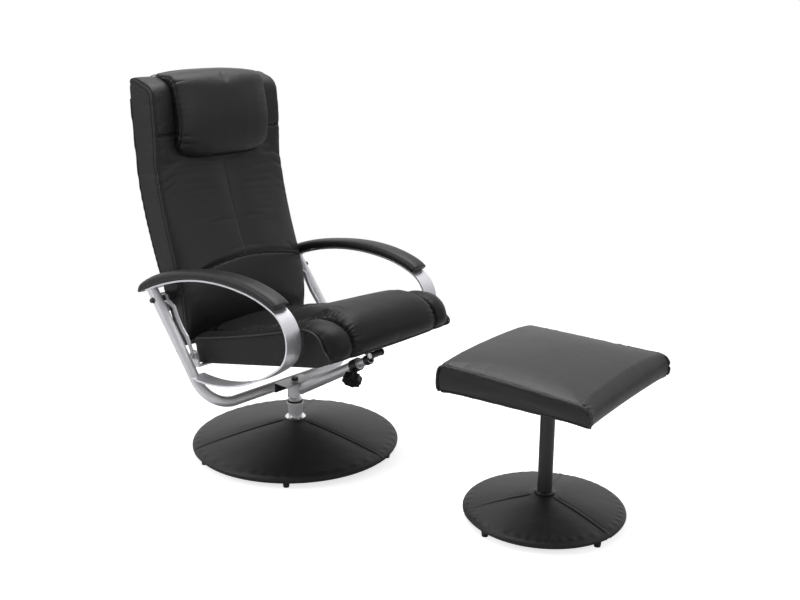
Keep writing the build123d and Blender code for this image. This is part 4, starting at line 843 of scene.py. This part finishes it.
# Near-black cords of painted shade lie in the waist, shoulder and edge seams.
seams = [cord_along(laid_on(back_tree, line[3:-3], 0.0001)[0], radius, 6) for lines, radius in
         (([waist] + shoulders, 0.0015), (front_edge, 0.0012), (box_edge, 0.0008))
         for line in lines]
sewn("back_seam_shade_cords", seams, "back", seam_shade)
welts = [cord_along(laid_on(back_tree, line[4:-4], 0.0004)[0], 0.0019, 8) for line in rear_edge]
sewn("back_rear_welts", welts, "back")
row, facing = laid_on(back_tree, spine[4:-2] + (0.0036, 0.0, 0.0), 0.0003)
sewn("back_spine_stitches", [thread_stitches(row, facing, 0.0046, 0.0031, 0.0008)], "back")

# Head pillow: a stuffed pad sewn to a flap that folds over the top of the back. Its lower
# corners are rounded, and its cover is gathered into the seam down each side.
pillow_half, pillow_shift = 0.153, -0.0025


def pillow_loop(share):
    """Outline of the pillow at shares of its half width: its skin, then the back's own line."""
    across = np.abs(np.atleast_1d(share)) * pillow_half
    draw = np.interp(across / pillow_half, (0.0, 0.4, 0.7, 0.86, 0.95, 0.985, 1.0),
                     (0.0, 0.03, 0.22, 0.46, 0.66, 0.80, 1.0))[:, None] * 0.018
    skin = np.array(((0.1431, 0.6898, 0.0, 1.0), (0.0907, 0.6969, 0.7, 0.7),
                     (0.0666, 0.7337, 1.0, 0.5), (0.0595, 0.8357, 1.0, 0.0),
                     (0.0793, 0.9518, 1.0, -0.3), (0.1133, 1.0057, 0.6, -0.6),
                     (0.1898, 1.0165, 0.0, -0.9), (0.2578, 1.0055, -0.4, -0.5),
                     (0.2890, 0.9518, -0.7, 0.0), (0.2861, 0.9065, -0.6, 0.0),
                     (0.2762, 0.8612, -0.5, 0.5)))
    stops = (back_foot + back_tall * skin[:, :2])[None] + draw[..., None] * skin[:, 2:]
    corner = np.clip((across - pillow_half + 0.040) / 0.040, 0.0, 1.0)
    raised = 0.034 * (1.0 - np.sqrt(np.clip(1.0 - corner ** 2, 0.0, 1.0)))[:, None]
    stops[..., 1] += raised * np.clip((0.87 - stops[..., 1]) / 0.09, 0.0, 1.0)
    runs = through(stops, (26,) * 5)
    loops = back_loop(across / back_half)
    low, flap = stops[:, 0, 1] - 0.001, stops[:, 10, 1] + 0.002
    rest = []
    for loop, start, end in zip(loops, low, flap):
        front, rear = loop[10:156], loop[156:]
        first = np.searchsorted(front[:130, 1], start)
        last = np.searchsorted(-rear[:, 1], -end)
        lining = np.concatenate((front[first:], rear[:last]))
        run = run_along(lining)
        rest.append(read_off(lining, run, np.linspace(run[-1], 0.0, 90)))
    return np.concatenate(runs + [np.array(rest)], axis=1)


pillow_leather = leatherette("pillow_leather", gloss=0.39)
pillow_across = np.sin(np.linspace(-np.pi / 2, np.pi / 2, 81))
pillow_loops = pillow_loop(pillow_across)
pillow_grid = back_spot(pillow_across[:, None] * pillow_half + pillow_shift, pillow_loops)
pillow_side = [evened(back_spot(side * (pillow_half - 0.0006) + pillow_shift,
                                pillow_loop(0.996)[0, 8:120])) for side in (-1, 1)]


def pillow_hold(points):
    """Sewn down: the lining on the back's own face, the side seams and the flap's hem."""
    lining = np.concatenate([grid[130::3] for grid in pillow_grid[::4]])
    near = [np.linalg.norm(part[:, None] - lining[None], axis=2).min(axis=1) for part in
            np.array_split(points, max(1, len(points) // 1500))]
    hold = np.where(np.concatenate(near) < 0.0045, 1.0, 0.0)
    return sewn_down(points, hold, [(line, 0.9, 0.006) for line in pillow_side])


pillow_form, points, normals = plumped(pillow_grid, 0.0045, 0.010, pillow_hold, shrink=0.0015,
                                       frames=12, stiff=5.0)
for side, line, strong in zip((-1, 1), pillow_side, (0.0030, 0.0017)):
    away, at = off_line(points, line)
    top = side * (points[:, 0] - pillow_shift) < pillow_half + 0.002
    folds = puffs(at, 0.023, 71 + side) * bell(away, 0.014 + 0.016 * np.sin(at * 47.0) ** 2)
    uneven = np.interp(at, (0.0, 0.03, 0.07, 0.12, 0.16, 0.20, 0.24, 0.30),
                       (0.5, 1.0, 0.15, 0.30, 0.10, 0.8, 0.6, 0.1))
    beside_seam = np.clip(away / 0.004, 0.1, 1.0)
    points += normals * (strong * folds * uneven * top * beside_seam)[:, None]
    points -= normals * (0.0030 * bell(away, 0.0032))[:, None]
pillow_tree = finished(pillow_form, "head_pillow", points, pillow_leather, "back", 0.8)
# A near-black cord of painted shade lies in each side seam.
seams = [cord_along(laid_on(pillow_tree, line[3:-36], 0.0)[0], 0.0011, 8) for line in pillow_side]
sewn("pillow_seam_shade_cords", seams, "back", seam_shade)

# Footstool cushion: foam on a board, the cover drawn over the front and rear in one piece.
# The two sides are boxed, with a piped seam above and below, and the cover is pleated into the
# ends of the piping at each corner.
stool_middle, stool_turn = np.array((0.1015, -0.7550, 0.0)), np.radians(5.15)
stool_axes = np.array(((np.cos(stool_turn), np.sin(stool_turn), 0.0),
                       (-np.sin(stool_turn), np.cos(stool_turn), 0.0), (0.0, 0.0, 1.0)))
stool_half = np.array((0.2045, 0.1960))
stool_low, stool_high, stool_rise = 0.3345, 0.3925, 0.007


def stool_loop(share):
    """Side outlines of the footstool cushion: crowned top, rolled front and rear, level sole."""
    lean = np.interp(share, (-1.0, 1.0), (0.004, -0.004))
    share = np.abs(np.atleast_1d(share))
    swell = np.interp(share, (0.0, 0.3, 0.6, 0.8, 0.9, 0.96, 0.99, 1.0),
                      (1.0, 0.97, 0.84, 0.62, 0.42, 0.22, 0.06, 0.0))
    draw = np.interp(share, (0.0, 0.94, 0.985, 1.0), (0.0, 0.0, 0.3, 1.0)) * 0.002
    ahead = stool_half[1] + 0.0030 - 0.0045 * (1.0 - share ** 2)
    behind = stool_half[1] - 0.0130 - 0.0020 * (1.0 - share ** 2)
    fore = stool_high - stool_rise * 0.5 - draw - lean * 0.5
    aft = stool_high + stool_rise - draw + lean

    def spot(depth, height):
        return np.stack(np.broadcast_arrays(depth, height + 0.0 * fore), axis=-1)[:, None, :]

    front = (spot(-ahead + 0.008, stool_low), spot(-ahead + 0.0005, stool_low + 0.012),
             spot(-ahead, fore - 0.026))
    over = (front[2], spot(-ahead + 0.0076, fore - 0.0076),
            spot(-ahead + 0.026, fore + 0.0008 + 0.010 * swell))
    crown = (over[2], spot(-0.012 + 0.0 * fore, (fore + aft) / 2 + 0.0265 * swell),
             spot(behind - 0.022, aft + 0.0008 + 0.021 * swell))
    down = (crown[2], spot(behind - 0.0050, aft - 0.0045 + 0.012 * swell),
            spot(behind, aft - 0.020))
    rear = (down[2], spot(behind - 0.0005, stool_low + 0.014), spot(behind - 0.009, stool_low))
    rest = rear[2] + (front[0] - rear[2]) * np.linspace(0.0, 1.0, 50, endpoint=False)[:, None]
    runs = [three_point(*stops, count) for stops, count in
            ((front, 14), (over, 12), (crown, 70), (down, 12), (rear, 14))]
    return np.concatenate(runs + [rest], axis=1)


def stool_spot(across, loop):
    """Places from the distance across the turned cushion and its outline's depth and height."""
    flat = np.stack(np.broadcast_arrays(across, loop[..., 0], loop[..., 1]), axis=-1)
    return stool_middle + flat @ stool_axes


stool_leather = leatherette("stool_leather", gloss=0.36)
stool_across = np.sin(np.linspace(-np.pi / 2, np.pi / 2, 81))
stool_loops = stool_loop(stool_across)
ear = 0.0035 * np.clip(np.abs(stool_loops[..., 0]) / stool_half[1], 0, 1) ** 4
rounding = np.clip((stool_low + 0.018 - stool_loops[..., 1]) / 0.018, 0.0, 1.0) ** 2
level_share = np.clip((stool_loops[..., 1] - stool_low) / (stool_high - stool_low), 0.0, 1.0)
half_width = stool_half[0] + ear + 0.0025 * np.sin(np.pi * level_share) - 0.0065 * rounding
stool_grid = stool_spot(stool_across[:, None] * half_width, stool_loops)
stool_edge = [evened(stool_grid[k, :122]) for k in (1, -2)]


def stool_hold(points):
    """Sewn or stapled down: the sole, the piped edges and the ends of the foam."""
    flat = np.abs((points - stool_middle) @ stool_axes.T)
    hold = np.where(points[:, 2] < stool_low + 0.005, 1.0, 0.0)
    hold = np.maximum(hold, 0.75 * np.clip((flat[:, 1] - 0.150) / 0.015, 0.0, 1.0))
    hold = np.maximum(hold, np.where(flat[:, 0] > 0.2020, 0.75, 0.0))
    return sewn_down(points, hold, [(line, 0.9, 0.005) for line in stool_edge])


stool_form, points, normals = plumped(stool_grid, 0.0045, 0.007, stool_hold, shrink=0.0025,
                                      frames=12)
flat = (points - stool_middle) @ stool_axes.T
near_corner = bell(np.abs(flat[:, 1]) - 0.180, 0.022)
for side, line in zip((-1, 1), stool_edge):
    away, at = off_line(points, line)
    over = side * flat[:, 0] < stool_half[0] - 0.004
    folds = puffs(at, 0.0130, 91 + side) * bell(away, 0.020) * near_corner
    ease = puffs(at, 0.060, 95 + side) * bell(away, 0.030) * (1.0 - near_corner)
    pleats = 0.0030 * folds * np.clip(away / 0.004, 0.1, 1) + 0.0007 * ease
    points += normals * np.where(over, pleats, 0.0)[:, None]
    points -= normals * (0.0040 * bell(away, 0.0034))[:, None]
stool_tree = finished(stool_form, "stool_cushion", points, stool_leather, "footstool", 0.8)
hem = np.stack((np.linspace(-0.186, 0.172, 90), np.full(90, stool_low + 0.0056)), axis=-1)
hems = [stool_spot(side * (stool_half[0] - 0.0020), hem) for side in (-1, 1)]
pipes = [cord_along(laid_on(stool_tree, line[4:-4], 0.0026)[0], 0.0030) for line in stool_edge]
pipes += [cord_along(laid_on(stool_tree, line, 0.0006)[0], 0.0018) for line in hems]
sewn("stool_piping", pipes, "footstool")

# Footstool base cover: the chair's in small, sewn from three panels in the same way.
covered_base("stool_cover", (0.101, -0.748), (0.193, 0.031, 0.021, 0.062, 0.003),
             (138.0, 20.0, -97.0), "footstool")

# Arm pads: foam on the aluminium band, in leather-look fabric drawn round and stapled below.
# The pad starts in a blunt tip behind the upright and ends square on the front of the loop.
pad_scale, pad_origin = 0.580, (-0.266, 0.245)
arm_line = np.array(((1.0, 0.3116), (0.6902, 0.4297), (0.2276, 0.4522),
                     (0.0840, 0.4098))) * pad_scale + pad_origin
pad_top = np.array(((0.9966, 0.3569), (0.8310, 0.4448), (0.5690, 0.5000), (0.3897, 0.5138),
                    (0.2276, 0.5034), (0.1138, 0.4759),
                    (0.0517, 0.4431))) * pad_scale + pad_origin


def tangent_arcs(stops, heading, counts):
    """Arcs from stop to stop, each leaving in the way the last one arrived."""
    runs, way = [], np.array((-np.cos(heading), np.sin(heading)))
    for start, end, count in zip(stops, stops[1:], counts):
        chord = end - start
        length = np.linalg.norm(chord)
        toward = chord / length
        half_turn = np.arctan2(way[0] * toward[1] - way[1] * toward[0], way @ toward)
        share = np.linspace(0.0, 1.0, count, endpoint=False)
        if abs(half_turn) < 1e-6:
            runs.append(start + chord * share[:, None])
        else:
            radius = length / 2 / np.sin(half_turn)
            left = np.array((-way[1], way[0]))
            angle = (2 * half_turn * share)[:, None]
            runs.append(start + radius * (np.sin(angle) * way + (1 - np.cos(angle)) * left))
        way = toward * (2 * (toward @ way)) - way
    return np.concatenate(runs + [stops[-1:]])


under = tangent_arcs(arm_line, np.radians(27.385), (40, 50, 26))
lead = unit(np.gradient(under, axis=0))
under = under + np.stack((lead[:, 1], -lead[:, 0]), axis=-1) * 0.0047
over = np.concatenate([three_point(*pad_top[k:k + 3], 40) for k in (0, 2, 4)] + [pad_top[-1:]])


def arm_pad(side, name, node):
    """Sections square to the band: flat under, crowned above, drawn in at the tip and the nose."""
    count, around = 150, 56
    share = (1 - np.cos(np.linspace(0.0, np.pi, count))) / 2

    def at(line):
        run = run_along(line)
        return read_off(line, run, share * run[-1])

    low, top = at(under), at(over)
    rear_round, nose_round, tip_round = (
        np.sqrt(np.clip(1 - np.clip(1 - way / reach, 0, 1) ** 2, 0.0, 1.0))
        for way, reach in ((share, 0.034), (1 - share, 0.010), (share, 0.050)))
    low = low + np.array((0.0, 0.0095)) * (1 - rear_round)[:, None]
    thick = (0.10 + 0.90 * rear_round) * (0.93 + 0.07 * nose_round)
    wide = 0.0258 * (0.35 + 0.65 * tip_round) * (0.975 + 0.025 * nose_round)
    angle = np.linspace(0.0, 2 * np.pi, around, endpoint=False)
    lateral = np.sign(np.cos(angle)) * np.abs(np.cos(angle)) ** 0.62
    rise = np.where(np.sin(angle) > 0, 0.26 + 0.74 * np.abs(np.sin(angle)) ** 0.75,
                    0.26 - 0.26 * np.abs(np.sin(angle)) ** 0.5)
    span = (top - low)[:, None, :] * (rise[None, :, None] * thick[:, None, None])
    section = low[:, None, :] + span
    crown = 0.0005 * np.clip(np.sin(angle), 0.0, 1.0)
    swell = puffs(share * 0.52, 0.050, 7 + side)[:, None] * crown
    across = side * 0.2514 + wide[:, None] * lateral * (1.0 + swell * 12)
    rings = np.stack(np.broadcast_arrays(across, section[..., 0], section[..., 1]), axis=-1)
    points, faces = capped(rings)
    centres = rings.mean(axis=1)
    own_centre = centres[np.clip(np.arange(len(points)) // around, 0, count - 1)]
    for place, depth, width in ((0.105, 0.0008, 0.003), (0.075, 0.0004, 0.002)):
        ring = int(np.searchsorted(share, place))
        ahead = unit(centres[ring + 1:ring + 2] - centres[ring])[0]
        crease = depth / 0.02 * bell((points - centres[ring]) @ ahead, width)
        points = points - (points - own_centre) * crease[:, None]
    piece = upholstered(name, points, outward(points, faces), arm_leather, "frame", (node,))
    smooth = piece.modifiers.new("smooth", "SUBSURF")
    smooth.levels = smooth.render_levels = 1


arm_leather = leatherette("arm_leather", gloss=0.40)
for side, name in ((-1, "right"), (1, "left")):
    arm_pad(side, "arm_pad_skin_" + name, "arm_pad_" + name)

low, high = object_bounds()
